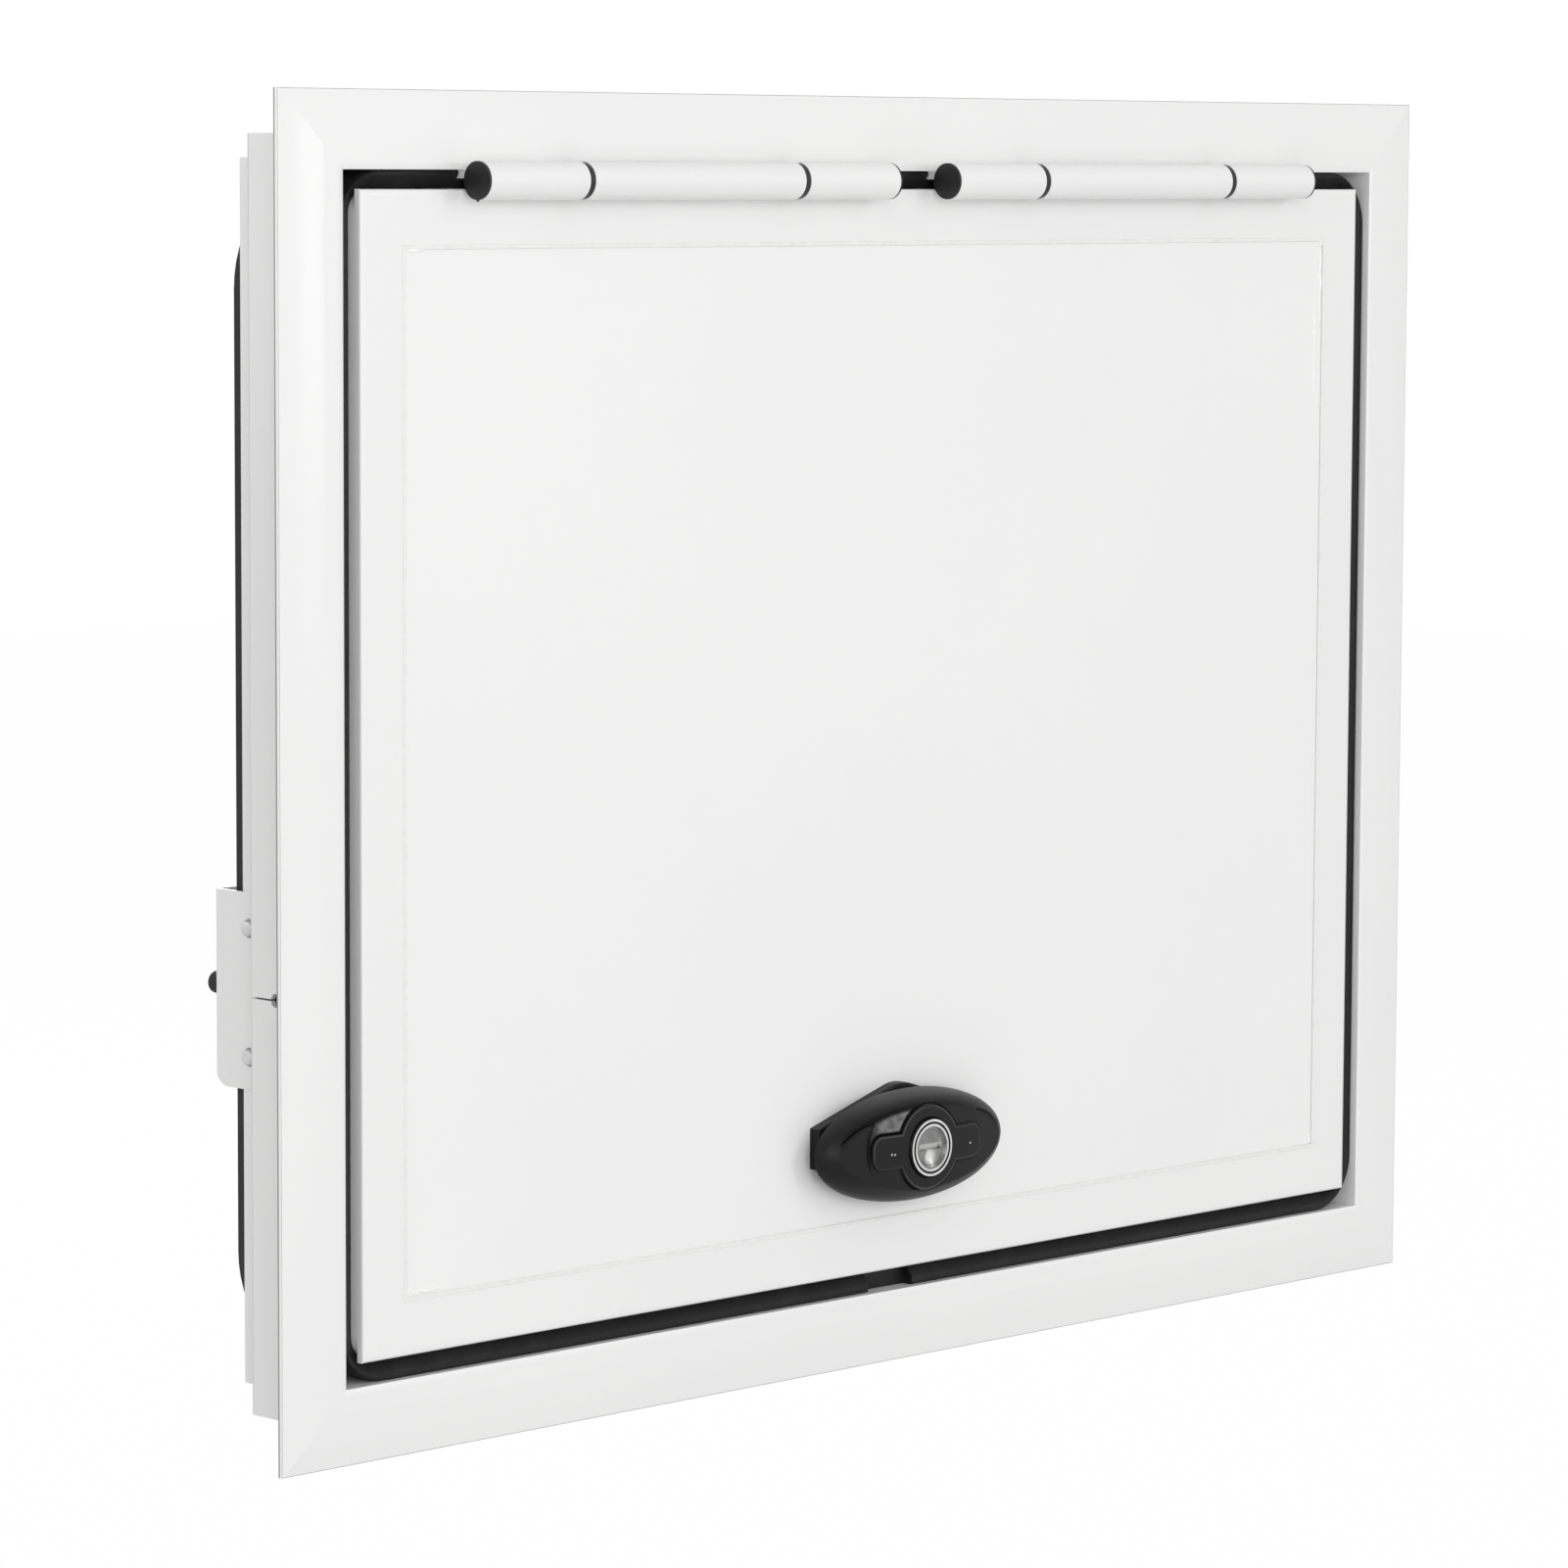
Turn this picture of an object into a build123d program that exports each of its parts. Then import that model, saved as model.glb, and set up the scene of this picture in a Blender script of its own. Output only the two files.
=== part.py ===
from build123d import *
from math import atan2, cos, degrees, pi, sin, sqrt
import os

os.makedirs("parts", exist_ok=True)

# Sizes in millimetres. X runs along the hinges, Z is up, and -Y points out of the vehicle.
# The origin is the centre of the wall cut-out, in the plane of the flange's back face.

# outer frame section: domed flange, stepped outer wall, opening wall and door stop
outer_width = 632.0
outer_height = 500.0
flange_overhang = 16.0
flange_width = 28.8
flange_edge = 2.0
flange_rise = 2.2
dome_width = 20.0
wall = 2.0
outer_wall_depth = 34.3
inner_wall_step = 8.7
frame_depth = 49.0
opening_wall_depth = 24.0
stop_inset = 47.0
stop_corner = 24.0
seam_width = 0.7
seam_height = -79.4
relief_hole_radius = 2.5
relief_hole_depth = 19.5

# door in the opening
gap_side = 8.2
gap_top = 7.0
gap_bottom = 8.5
door_recess = 0.2
door_thickness = 38.0
lip_depth = 3.0
rim_depth = 6.5
rim_corner = 9.0
rim_wall = 5.0
body_step = 3.0
body_top_step = 0.3
body_wall = 2.0
face_border = 21.0
border_sheet = 1.6
panel_drop = 0.2
rear_border = 12.0
edge_round = 0.8
bead_width = 1.6
bead_height = 0.3
bead_round = 0.2

# seals
front_seal_depth = 15.0
front_seal_drop = 2.9
front_seal_corner = 22.0
front_seal_outer_round = 1.0
front_seal_slope_width = 4.8
front_seal_slope_depth = 3.75
seal_clearance = 0.35
drain_width = 25.0
drain_shift = 1.5
drain_depth = 5.0
stop_seal_width = 5.0
stop_seal_edge = 1.0
stop_seal_gap = 0.3
rear_gasket_inset = 27.5
rear_gasket_width = 9.5
rear_gasket_depth = 7.3
rear_gasket_corner = 45.0

# hinges
hinge_gap = 34.2
hinge_margin = 56.1
hinge_shift = 2.3
barrel_radius = 7.1
axis_below_opening = 3.9
barrel_clearance = 0.8
outer_knuckle_share = 0.46
washer_thickness = 2.6
washer_radius = 6.8
cap_thickness = 1.0
cap_radius = 7.05
knuckle_play = 0.1
pin_radius = 2.5
pin_clearance = 0.06
leaf_thickness = 1.8
leaf_depth = 27.0
leaf_front_gap = 0.6
web_thickness = 3.2
web_end_drop = 5.2
web_taper = 3.2
web_clearance = 0.3
leaf_seal_gap = 0.5
leaf_screw_end = 20.0
leaf_screw_radius = 1.6
leaf_screw_head = 3.0
leaf_screw_length = 6.5
leaf_screw_inset = 6.0
hole_clearance = 0.1

# lock: base plate, turn knob with its key cylinder, spindle and cam
lock_height = 88.5
plate_half_length = 46.8
plate_end_half = 8.0
plate_half_height = 21.8
plate_crown_radius = 19.0
plate_shift = 2.3
plate_thickness = 5.0
knob_gap = 0.3
knob_half_length = 52.0
knob_half_height = 22.4
knob_under_depth = 2.1
knob_under_inset = 3.0
dome_depth = 15.0
dome_length_inset = 44.7
dome_height_inset = 17.0
dome_sections = 6
dome_sweep = 70.0
face_depth = 12.4
face_radius = 280.0
face_height_radius = 120.0
boss_radius = 16.8
boss_lobe_half_length = 30.6
boss_lobe_half_height = 6.8
boss_lobe_corner = 5.0
boss_rise = 0.8
boss_round = 0.4
leaf_tip_x = 28.8
leaf_tip_z = 12.1
leaf_outer_x = 47.0
leaf_outer_z = 2.5
leaf_upper_x = 36.5
leaf_upper_z = 10.2
leaf_lower_x = 40.0
leaf_lower_z = -7.0
leaf_foot_x = 30.0
leaf_foot_z = -9.0
leaf_waist_x = 32.2
leaf_waist_z = 1.5
leaf_recess = 0.6
leaf_slope = 0.15
leaf_runout = 0.05
ring_radius = 11.3
ring_width = 2.8
ring_rise = 1.0
ring_depth = 8.0
ring_groove_radius = 9.9
ring_groove_width = 0.8
ring_groove_depth = 0.8
plug_clearance = 0.06
plug_recess = 1.2
plug_depth = 11.5
keyway_length = 11.5
keyway_width = 2.0
keyway_depth = 0.9
dish_radius = 9.0
dish_drop = 4.2
dish_depth = 0.9
spindle_radius = 7.0
spindle_clearance = 0.06
spindle_socket = 2.5
housing_radius = 12.0
housing_recess = 1.0
housing_tail = 1.5
nut_across = 36.0
nut_thickness = 5.0
cam_length = 49.5
cam_width = 16.0
cam_hub_radius = 12.0
cam_thickness = 3.0
cam_gap = 0.5
cam_bolt_radius = 3.0
cam_bolt_head = 5.5
cam_bolt_head_height = 3.5
cam_bolt_length = 12.0

# joiner bracket over the frame's seam
bracket_height = 73.0
bracket_low = 36.0
bracket_sheet = 1.5
bracket_step_gap = 1.2
bracket_reach = 13.6
bracket_return = 12.5
bracket_bend = 2.0
bracket_corner = 8.0
bracket_screw_spacing = 47.6
bracket_screw_inset = 6.7
bracket_screw_radius = 1.7
bracket_screw_head = 2.8
bracket_screw_head_height = 2.0
bracket_screw_length = 7.0
bumper_radius = 4.2
bumper_height = 5.3
bumper_rise = 1.4
bumper_stem_radius = 1.8
bumper_stem_length = 4.0
bumper_inset = 4.8
bumper_round = 1.5

# planes and edges that several pieces share
crest = -(flange_edge + flange_rise)
opening_half_width = outer_width / 2 - flange_width
opening_half_height = outer_height / 2 - flange_width
inner_wall_inset = flange_overhang + inner_wall_step
door_face = crest + door_recess
door_back = door_face + door_thickness
rim_back = door_face + rim_depth
rim_inner_corner = rim_corner - rim_wall
panel_front = door_face + panel_drop
core_front = door_face + border_sheet
core_back = door_back - border_sheet
door_top = opening_half_height - gap_top
stop_front = frame_depth - wall
seal_front = crest + front_seal_drop
seal_back = seal_front + front_seal_depth
barrel_depth = crest - barrel_clearance - barrel_radius
barrel_height = opening_half_height - axis_below_opening
leaf_half = (2 * opening_half_width - 2 * hinge_margin - hinge_gap) / 4
hinge_spacing = 2 * leaf_half + hinge_gap
hinge_left = hinge_shift - hinge_spacing / 2
hinge_right = hinge_shift + hinge_spacing / 2
outer_knuckle = outer_knuckle_share * leaf_half
outer_start = leaf_half - outer_knuckle
washer_start = outer_start - knuckle_play - washer_thickness
middle_knuckle = 2 * (washer_start - knuckle_play)
leaf_screw_spacing = 2 * (leaf_half - leaf_screw_end) / 3
pin_hole = pin_radius + pin_clearance
leaf_front = crest + leaf_front_gap
web_end = crest + web_end_drop
web_back = web_end + web_taper
seal_pocket = web_back + web_clearance
door_leaf_front = seal_pocket + leaf_seal_gap
leaf_back = crest + leaf_depth
leaf_screw_y = leaf_back - leaf_screw_inset
frame_leaf_low = opening_half_height - leaf_thickness
door_leaf_high = door_top + leaf_thickness
door_body_top = door_top - body_top_step
sink_depth = leaf_screw_head - leaf_screw_radius
lock_z = lock_height - outer_height / 2
plate_z = lock_z + plate_shift
plate_front = panel_front - plate_thickness
knob_back = plate_front - knob_gap
knob_wide = knob_back - knob_under_depth
knob_face = knob_wide - face_depth
boss_front = knob_face - boss_rise
leaf_tip_drop = leaf_tip_x**2 / (2 * face_radius) + leaf_tip_z**2 / (2 * face_height_radius)
leaf_tip_y = knob_face + leaf_tip_drop + leaf_recess
ring_front = boss_front - ring_rise
ring_back = ring_front + ring_depth
plug_radius = ring_radius - ring_width - plug_clearance
plug_front = ring_front + plug_recess
plug_back = plug_front + plug_depth
spindle_front = knob_back - spindle_socket
cam_front = frame_depth + cam_gap
cam_back = cam_front + cam_thickness
bracket_outside = -outer_width / 2 + inner_wall_inset - bracket_sheet
bracket_bottom = seam_height - bracket_low
bracket_start = outer_wall_depth + bracket_step_gap
bracket_end = frame_depth + bracket_reach
bracket_screw_depth = frame_depth - bracket_screw_inset
bumper_z = seam_height + bumper_rise


def facing(depth):
    """Plane across the door at a depth from the flange's back, seen from outside."""
    return Plane.XZ.offset(-depth)


def frame_outline(inset, corner=0.0, mode=Mode.ADD):
    """Rectangle a given distance inside the flange's outer edge."""
    width = outer_width - 2 * inset
    height = outer_height - 2 * inset
    if corner > 0:
        RectangleRounded(width, height, corner, mode=mode)
    else:
        Rectangle(width, height, mode=mode)


def door_outline(inset, corner=0.0, top=None, mode=Mode.ADD):
    """Rectangle a given distance inside the door's edge; top sets its own top inset."""
    half_width = opening_half_width - gap_side - inset
    high = door_top - (inset if top is None else top)
    low = gap_bottom + inset - opening_half_height
    with Locations((0, (high + low) / 2)):
        if corner > 0:
            RectangleRounded(2 * half_width, high - low, corner, mode=mode)
        else:
            Rectangle(2 * half_width, high - low, mode=mode)


def lock_circle(radius, mode=Mode.ADD):
    """Circle on the lock's axis."""
    with Locations((0, lock_z)):
        Circle(radius, mode=mode)


def barrel_circle(radius, mode=Mode.ADD):
    """Circle on the hinge axis, seen from the side."""
    with Locations((barrel_depth, barrel_height)):
        Circle(radius, mode=mode)


def hinge_zone(half_length, front, back):
    """Rectangles over both hinges between two depths, with a little room at their ends."""
    with Locations((hinge_shift, (front + back) / 2)):
        with GridLocations(hinge_spacing, 0, 2, 1):
            Rectangle(2 * half_length + leaf_seal_gap, back - front)


def frame_leaf_web():
    """Thick front of the frame leaf, running from the opening's top wall into the barrel."""
    low = opening_half_height - web_thickness
    Polygon(
        (barrel_depth, low),
        (web_end, low),
        (web_back, opening_half_height),
        (barrel_depth, opening_half_height),
        align=None,
    )


def screw_row(centre, radius, depth=leaf_screw_y):
    """Circles for the screws of one hinge leaf."""
    with Locations((centre, depth)):
        with GridLocations(leaf_screw_spacing, 0, 4, 1):
            Circle(radius)


# outer frame: one aluminium section taken round the opening with mitred corners
frame_path = Polyline(
    (-outer_width / 2, 0, 0),
    (-outer_width / 2, 0, outer_height / 2),
    (outer_width / 2, 0, outer_height / 2),
    (outer_width / 2, 0, 0),
)
with BuildPart() as outer_frame:
    with BuildSketch(Plane(origin=(-outer_width / 2, 0, 0))) as section:
        with BuildLine():
            dome = TangentArc((dome_width, crest), (0, -flange_edge), tangent=(-1, 0))
            Polyline(
                (0, -flange_edge),
                (0, 0),
                (flange_overhang, 0),
                (flange_overhang, outer_wall_depth),
                (inner_wall_inset, outer_wall_depth),
                (inner_wall_inset, frame_depth),
                (flange_width, frame_depth),
                (flange_width, stop_front),
                (inner_wall_inset + wall, stop_front),
                (inner_wall_inset + wall, outer_wall_depth - wall),
                (flange_overhang + wall, outer_wall_depth - wall),
                (flange_overhang + wall, -flange_edge),
                (flange_width - wall, -flange_edge),
                (flange_width - wall, opening_wall_depth),
                (flange_width, opening_wall_depth),
                (flange_width, crest),
                (dome_width, crest),
            )
        make_face()
        outer_corners = [
            v for v in section.vertices()
            if v.Y > wall and min(abs(v.X - flange_overhang), abs(v.X - inner_wall_inset)) < 0.01
            and (abs(v.Y - outer_wall_depth) < 0.01 or abs(v.Y - frame_depth) < 0.01)
            and not (abs(v.X - inner_wall_inset) < 0.01 and abs(v.Y - outer_wall_depth) < 0.01)
        ]
        fillet(outer_corners, wall * 0.9)
    sweep(path=frame_path, transition=Transition.RIGHT)
    mirror(about=Plane.XY)
    # door stop, with its corners rounded inside
    with BuildSketch(facing(frame_depth)):
        frame_outline(inner_wall_inset + wall)
        frame_outline(stop_inset, stop_corner, mode=Mode.SUBTRACT)
    extrude(amount=wall)
    # the section's two ends meet in a saw cut that starts from a relief hole
    with BuildSketch(Plane.YZ.offset(-outer_width / 2 + flange_overhang)):
        with Locations((relief_hole_depth, seam_height)):
            Circle(relief_hole_radius)
        with Locations(((relief_hole_depth + outer_wall_depth + 1) / 2, seam_height)):
            Rectangle(outer_wall_depth + 1 - relief_hole_depth, seam_width)
    extrude(amount=wall, mode=Mode.SUBTRACT)
    # holes for the bracket's screws and the hinge leaves' screws
    with BuildSketch(Plane.YZ.offset(-outer_width / 2 + inner_wall_inset)):
        with Locations((bracket_screw_depth, seam_height)):
            with GridLocations(0, bracket_screw_spacing, 1, 2):
                Circle(bracket_screw_radius + hole_clearance)
    extrude(amount=wall, mode=Mode.SUBTRACT)
    with BuildSketch(Plane.XY.offset(opening_half_height)):
        screw_row(hinge_left, leaf_screw_radius + hole_clearance)
        screw_row(hinge_right, leaf_screw_radius + hole_clearance)
    extrude(amount=wall, mode=Mode.SUBTRACT)
outer_frame.part.label = "outer_frame"
export_step(outer_frame.part, "parts/outer_frame.step")

# hollow rubber seal that fills the gap between the opening and the door's rim
with BuildPart() as front_seal:
    with BuildSketch(facing(seal_back)):
        frame_outline(flange_width, front_seal_corner)
        door_outline(-seal_clearance, rim_corner + seal_clearance, mode=Mode.SUBTRACT)
    extrude(amount=front_seal_depth)
    fillet(front_seal.faces().sort_by(Axis.Y)[0].outer_wire().edges(), front_seal_outer_round)
    # slope down to the door's rim
    with BuildSketch(Plane(origin=(0, seal_front, 0), x_dir=(-1, 0, 0), z_dir=(0, 1, 0))):
        slope_start = seal_clearance + front_seal_slope_width
        door_outline(-slope_start, rim_corner + slope_start)
    slope_angle = degrees(atan2(front_seal_slope_width, front_seal_slope_depth))
    extrude(amount=front_seal_slope_depth, taper=slope_angle, mode=Mode.SUBTRACT)
    # shallow drain gap at the bottom
    with BuildSketch(facing(seal_front + drain_depth)):
        with Locations((drain_shift, -opening_half_height + gap_bottom / 2)):
            Rectangle(drain_width, 2 * gap_bottom)
    extrude(amount=2 * drain_depth, mode=Mode.SUBTRACT)
    # room for the frame leaves and their webs, the door leaves, and the middle knuckles' arms
    with BuildSketch(Plane.XY.offset(frame_leaf_low)):
        hinge_zone(leaf_half, seal_front - 1, seal_back + 1)
    extrude(amount=gap_top, mode=Mode.SUBTRACT)
    with BuildSketch(Plane.XY.offset(opening_half_height - web_thickness - web_clearance)):
        hinge_zone(leaf_half, seal_front - 1, seal_pocket)
    extrude(amount=gap_top, mode=Mode.SUBTRACT)
    with BuildSketch(Plane.XY.offset(door_leaf_high + seal_clearance - gap_top)):
        hinge_zone(leaf_half, seal_pocket, seal_back + 1)
        hinge_zone(middle_knuckle / 2, seal_front - 1, seal_pocket)
    extrude(amount=gap_top, mode=Mode.SUBTRACT)
    with BuildSketch(Plane.XY.offset(door_leaf_high + seal_clearance - gap_top)):
        hinge_zone(middle_knuckle / 2, seal_front - 1, seal_pocket)
    extrude(amount=2 * gap_top, mode=Mode.SUBTRACT)
front_seal.part.label = "front_seal"
export_step(front_seal.part, "parts/front_seal.step")

# soft seal on the door stop, just behind the closed door
with BuildPart() as stop_seal:
    with BuildSketch(facing(stop_front)):
        stop_seal_reach = stop_seal_edge + stop_seal_width
        frame_outline(stop_inset - stop_seal_reach, stop_corner + stop_seal_reach)
        frame_outline(stop_inset - stop_seal_edge, stop_corner + stop_seal_edge, mode=Mode.SUBTRACT)
    extrude(amount=stop_front - door_back - stop_seal_gap)
    fillet(stop_seal.edges().group_by(Axis.Y)[0], stop_seal_width * 0.4)
stop_seal.part.label = "stop_seal"
export_step(stop_seal.part, "parts/stop_seal.step")

# gasket on the back of the door stop, against the vehicle's inner wall
with BuildPart() as rear_gasket:
    with BuildSketch(facing(frame_depth + rear_gasket_depth)):
        frame_outline(rear_gasket_inset, rear_gasket_corner)
        frame_outline(
            rear_gasket_inset + rear_gasket_width, rear_gasket_corner - rear_gasket_width, mode=Mode.SUBTRACT
        )
    extrude(amount=rear_gasket_depth)
    fillet(rear_gasket.edges().group_by(Axis.Y)[-1], rear_gasket_width * 0.25)
rear_gasket.part.label = "rear_gasket"
export_step(rear_gasket.part, "parts/rear_gasket.step")

# folded bracket that joins the two ends of the frame section
with BuildPart() as joiner_bracket:
    with BuildSketch(Plane.XY.offset(bracket_bottom)):
        with BuildLine():
            Polyline(
                (bracket_outside, bracket_start),
                (bracket_outside, bracket_end),
                (bracket_outside + bracket_return, bracket_end),
                (bracket_outside + bracket_return, bracket_end - bracket_sheet),
                (bracket_outside + bracket_sheet, bracket_end - bracket_sheet),
                (bracket_outside + bracket_sheet, bracket_start),
                close=True,
            )
        make_face()
    extrude(amount=bracket_height)
    bend = joiner_bracket.edges().filter_by(Axis.Z).group_by(Axis.Y)[-1].sort_by(Axis.X)[0]
    fillet(bend, bracket_bend)
    # rounded lower rear corner
    with BuildSketch(Plane.YZ.offset(bracket_outside)):
        with Locations((bracket_end, bracket_bottom)):
            Rectangle(2 * bracket_corner, 2 * bracket_corner)
        with Locations((bracket_end - bracket_corner, bracket_bottom + bracket_corner)):
            Circle(bracket_corner, mode=Mode.SUBTRACT)
    extrude(amount=bracket_return, mode=Mode.SUBTRACT)
    with BuildSketch(Plane.YZ.offset(bracket_outside)):
        with Locations((bracket_screw_depth, seam_height)):
            with GridLocations(0, bracket_screw_spacing, 1, 2):
                Circle(bracket_screw_radius + hole_clearance)
    extrude(amount=bracket_sheet, mode=Mode.SUBTRACT)
    with BuildSketch(facing(bracket_end)):
        with Locations((bracket_outside + bumper_inset, bumper_z)):
            Circle(bumper_stem_radius + hole_clearance)
    extrude(amount=bracket_sheet, mode=Mode.SUBTRACT)
joiner_bracket.part.label = "joiner_bracket"
export_step(joiner_bracket.part, "parts/joiner_bracket.step")

# pan-head screws of the bracket
with BuildPart() as joiner_screws:
    with BuildSketch(Plane.YZ.offset(bracket_outside - bracket_screw_head_height)):
        with Locations((bracket_screw_depth, seam_height)):
            with GridLocations(0, bracket_screw_spacing, 1, 2):
                Circle(bracket_screw_head)
    extrude(amount=bracket_screw_head_height)
    fillet(joiner_screws.edges().group_by(Axis.X)[0], bracket_screw_head_height * 0.5)
    with BuildSketch(Plane.YZ.offset(bracket_outside)):
        with Locations((bracket_screw_depth, seam_height)):
            with GridLocations(0, bracket_screw_spacing, 1, 2):
                Circle(bracket_screw_radius)
    extrude(amount=bracket_screw_length)
joiner_screws.part.label = "joiner_screws"
export_step(joiner_screws.part, "parts/joiner_screws.step")

# rubber bumper on the bracket's folded edge
with BuildPart() as bracket_bumper:
    with BuildSketch(facing(bracket_end + bumper_height)):
        with Locations((bracket_outside + bumper_inset, bumper_z)):
            Circle(bumper_radius)
    extrude(amount=bumper_height)
    fillet(bracket_bumper.edges().group_by(Axis.Y)[-1], bumper_round)
    with BuildSketch(facing(bracket_end)):
        with Locations((bracket_outside + bumper_inset, bumper_z)):
            Circle(bumper_stem_radius)
    extrude(amount=bumper_stem_length)
bracket_bumper.part.label = "bracket_bumper"
export_step(bracket_bumper.part, "parts/bracket_bumper.step")

# frame leaves: a plate under the opening's top wall and a knuckle at each end
with BuildPart() as hinge_frame_leaf_left:
    with BuildSketch(Plane.XY.offset(frame_leaf_low)):
        with Locations((hinge_left, (leaf_front + leaf_back) / 2)):
            Rectangle(2 * leaf_half, leaf_back - leaf_front)
    extrude(amount=leaf_thickness)
    with BuildSketch(Plane.YZ.offset(hinge_left - leaf_half), Plane.YZ.offset(hinge_left + outer_start)):
        frame_leaf_web()
        barrel_circle(barrel_radius)
        barrel_circle(pin_hole, mode=Mode.SUBTRACT)
    extrude(amount=outer_knuckle)
    with BuildSketch(Plane.XY.offset(frame_leaf_low)):
        screw_row(hinge_left, leaf_screw_head + hole_clearance)
    extrude(amount=sink_depth, taper=45, mode=Mode.SUBTRACT)
    with BuildSketch(Plane.XY.offset(frame_leaf_low)):
        screw_row(hinge_left, leaf_screw_radius + hole_clearance)
    extrude(amount=leaf_thickness, mode=Mode.SUBTRACT)
hinge_frame_leaf_left.part.label = "hinge_frame_leaf_left"
export_step(hinge_frame_leaf_left.part, "parts/hinge_frame_leaf_left.step")

with BuildPart() as hinge_frame_leaf_right:
    with BuildSketch(Plane.XY.offset(frame_leaf_low)):
        with Locations((hinge_right, (leaf_front + leaf_back) / 2)):
            Rectangle(2 * leaf_half, leaf_back - leaf_front)
    extrude(amount=leaf_thickness)
    with BuildSketch(Plane.YZ.offset(hinge_right - leaf_half), Plane.YZ.offset(hinge_right + outer_start)):
        frame_leaf_web()
        barrel_circle(barrel_radius)
        barrel_circle(pin_hole, mode=Mode.SUBTRACT)
    extrude(amount=outer_knuckle)
    with BuildSketch(Plane.XY.offset(frame_leaf_low)):
        screw_row(hinge_right, leaf_screw_head + hole_clearance)
    extrude(amount=sink_depth, taper=45, mode=Mode.SUBTRACT)
    with BuildSketch(Plane.XY.offset(frame_leaf_low)):
        screw_row(hinge_right, leaf_screw_radius + hole_clearance)
    extrude(amount=leaf_thickness, mode=Mode.SUBTRACT)
hinge_frame_leaf_right.part.label = "hinge_frame_leaf_right"
export_step(hinge_frame_leaf_right.part, "parts/hinge_frame_leaf_right.step")

# hinge pins
with BuildPart() as hinge_pin_left:
    with BuildSketch(Plane.YZ.offset(hinge_left - leaf_half)):
        barrel_circle(pin_radius)
    extrude(amount=2 * leaf_half)
hinge_pin_left.part.label = "hinge_pin_left"
export_step(hinge_pin_left.part, "parts/hinge_pin_left.step")

with BuildPart() as hinge_pin_right:
    with BuildSketch(Plane.YZ.offset(hinge_right - leaf_half)):
        barrel_circle(pin_radius)
    extrude(amount=2 * leaf_half)
hinge_pin_right.part.label = "hinge_pin_right"
export_step(hinge_pin_right.part, "parts/hinge_pin_right.step")

# caps on the outer ends of both hinges
with BuildPart() as hinge_caps:
    with BuildSketch(
        Plane.YZ.offset(hinge_left - leaf_half - cap_thickness),
        Plane.YZ.offset(hinge_left + leaf_half),
        Plane.YZ.offset(hinge_right - leaf_half - cap_thickness),
        Plane.YZ.offset(hinge_right + leaf_half),
    ):
        barrel_circle(cap_radius)
    extrude(amount=cap_thickness)
hinge_caps.part.label = "hinge_caps"
export_step(hinge_caps.part, "parts/hinge_caps.step")

# washers between the knuckles
with BuildPart() as hinge_washers:
    with BuildSketch(
        Plane.YZ.offset(hinge_left - washer_start - washer_thickness),
        Plane.YZ.offset(hinge_left + washer_start),
        Plane.YZ.offset(hinge_right - washer_start - washer_thickness),
        Plane.YZ.offset(hinge_right + washer_start),
    ):
        barrel_circle(washer_radius)
        barrel_circle(pin_hole, mode=Mode.SUBTRACT)
    extrude(amount=washer_thickness)
hinge_washers.part.label = "hinge_washers"
export_step(hinge_washers.part, "parts/hinge_washers.step")

# countersunk screws through the frame leaves into the opening's top wall
with BuildPart() as frame_leaf_screws:
    with BuildSketch(Plane.XY.offset(frame_leaf_low)):
        screw_row(hinge_left, leaf_screw_head)
        screw_row(hinge_right, leaf_screw_head)
    extrude(amount=sink_depth, taper=45)
    with BuildSketch(Plane.XY.offset(frame_leaf_low)):
        screw_row(hinge_left, leaf_screw_radius)
        screw_row(hinge_right, leaf_screw_radius)
    extrude(amount=leaf_screw_length)
frame_leaf_screws.part.label = "frame_leaf_screws"
export_step(frame_leaf_screws.part, "parts/frame_leaf_screws.step")

# door edge frame: flat border with a square lip, rounded rim, stepped body and rear lip
with BuildPart() as door_edge_frame:
    with BuildSketch(facing(core_front)):
        door_outline(0)
        door_outline(face_border, mode=Mode.SUBTRACT)
    extrude(amount=border_sheet)
    with BuildSketch(facing(door_face + lip_depth)):
        door_outline(0)
        door_outline(rim_wall, rim_inner_corner, mode=Mode.SUBTRACT)
    extrude(amount=lip_depth)
    with BuildSketch(facing(rim_back)):
        door_outline(0, rim_corner)
        door_outline(rim_wall, rim_inner_corner, mode=Mode.SUBTRACT)
    extrude(amount=rim_depth)
    with BuildSketch(facing(door_back)):
        door_outline(body_step, rim_corner - body_step, top=body_top_step)
        door_outline(rim_wall, rim_inner_corner, mode=Mode.SUBTRACT)
    extrude(amount=door_thickness - rim_depth)
    with BuildSketch(facing(door_back)):
        door_outline(body_step, rim_corner - body_step, top=body_top_step)
        door_outline(body_step + rear_border, mode=Mode.SUBTRACT)
    extrude(amount=border_sheet)
    fillet(door_edge_frame.faces().sort_by(Axis.Y)[0].outer_wire().edges(), edge_round)
    # pilot holes for the hinge screws
    with BuildSketch(Plane.XY.offset(door_leaf_high - leaf_screw_length - hole_clearance)):
        screw_row(hinge_left, leaf_screw_radius + hole_clearance)
        screw_row(hinge_right, leaf_screw_radius + hole_clearance)
    extrude(amount=leaf_screw_length, mode=Mode.SUBTRACT)
door_edge_frame.part.label = "door_edge_frame"
export_step(door_edge_frame.part, "parts/door_edge_frame.step")

# front panel, set a little below the border
with BuildPart() as door_front_panel:
    with BuildSketch(facing(core_front)):
        door_outline(face_border)
        lock_circle(housing_radius + hole_clearance, mode=Mode.SUBTRACT)
    extrude(amount=core_front - panel_front)
door_front_panel.part.label = "door_front_panel"
export_step(door_front_panel.part, "parts/door_front_panel.step")

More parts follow.
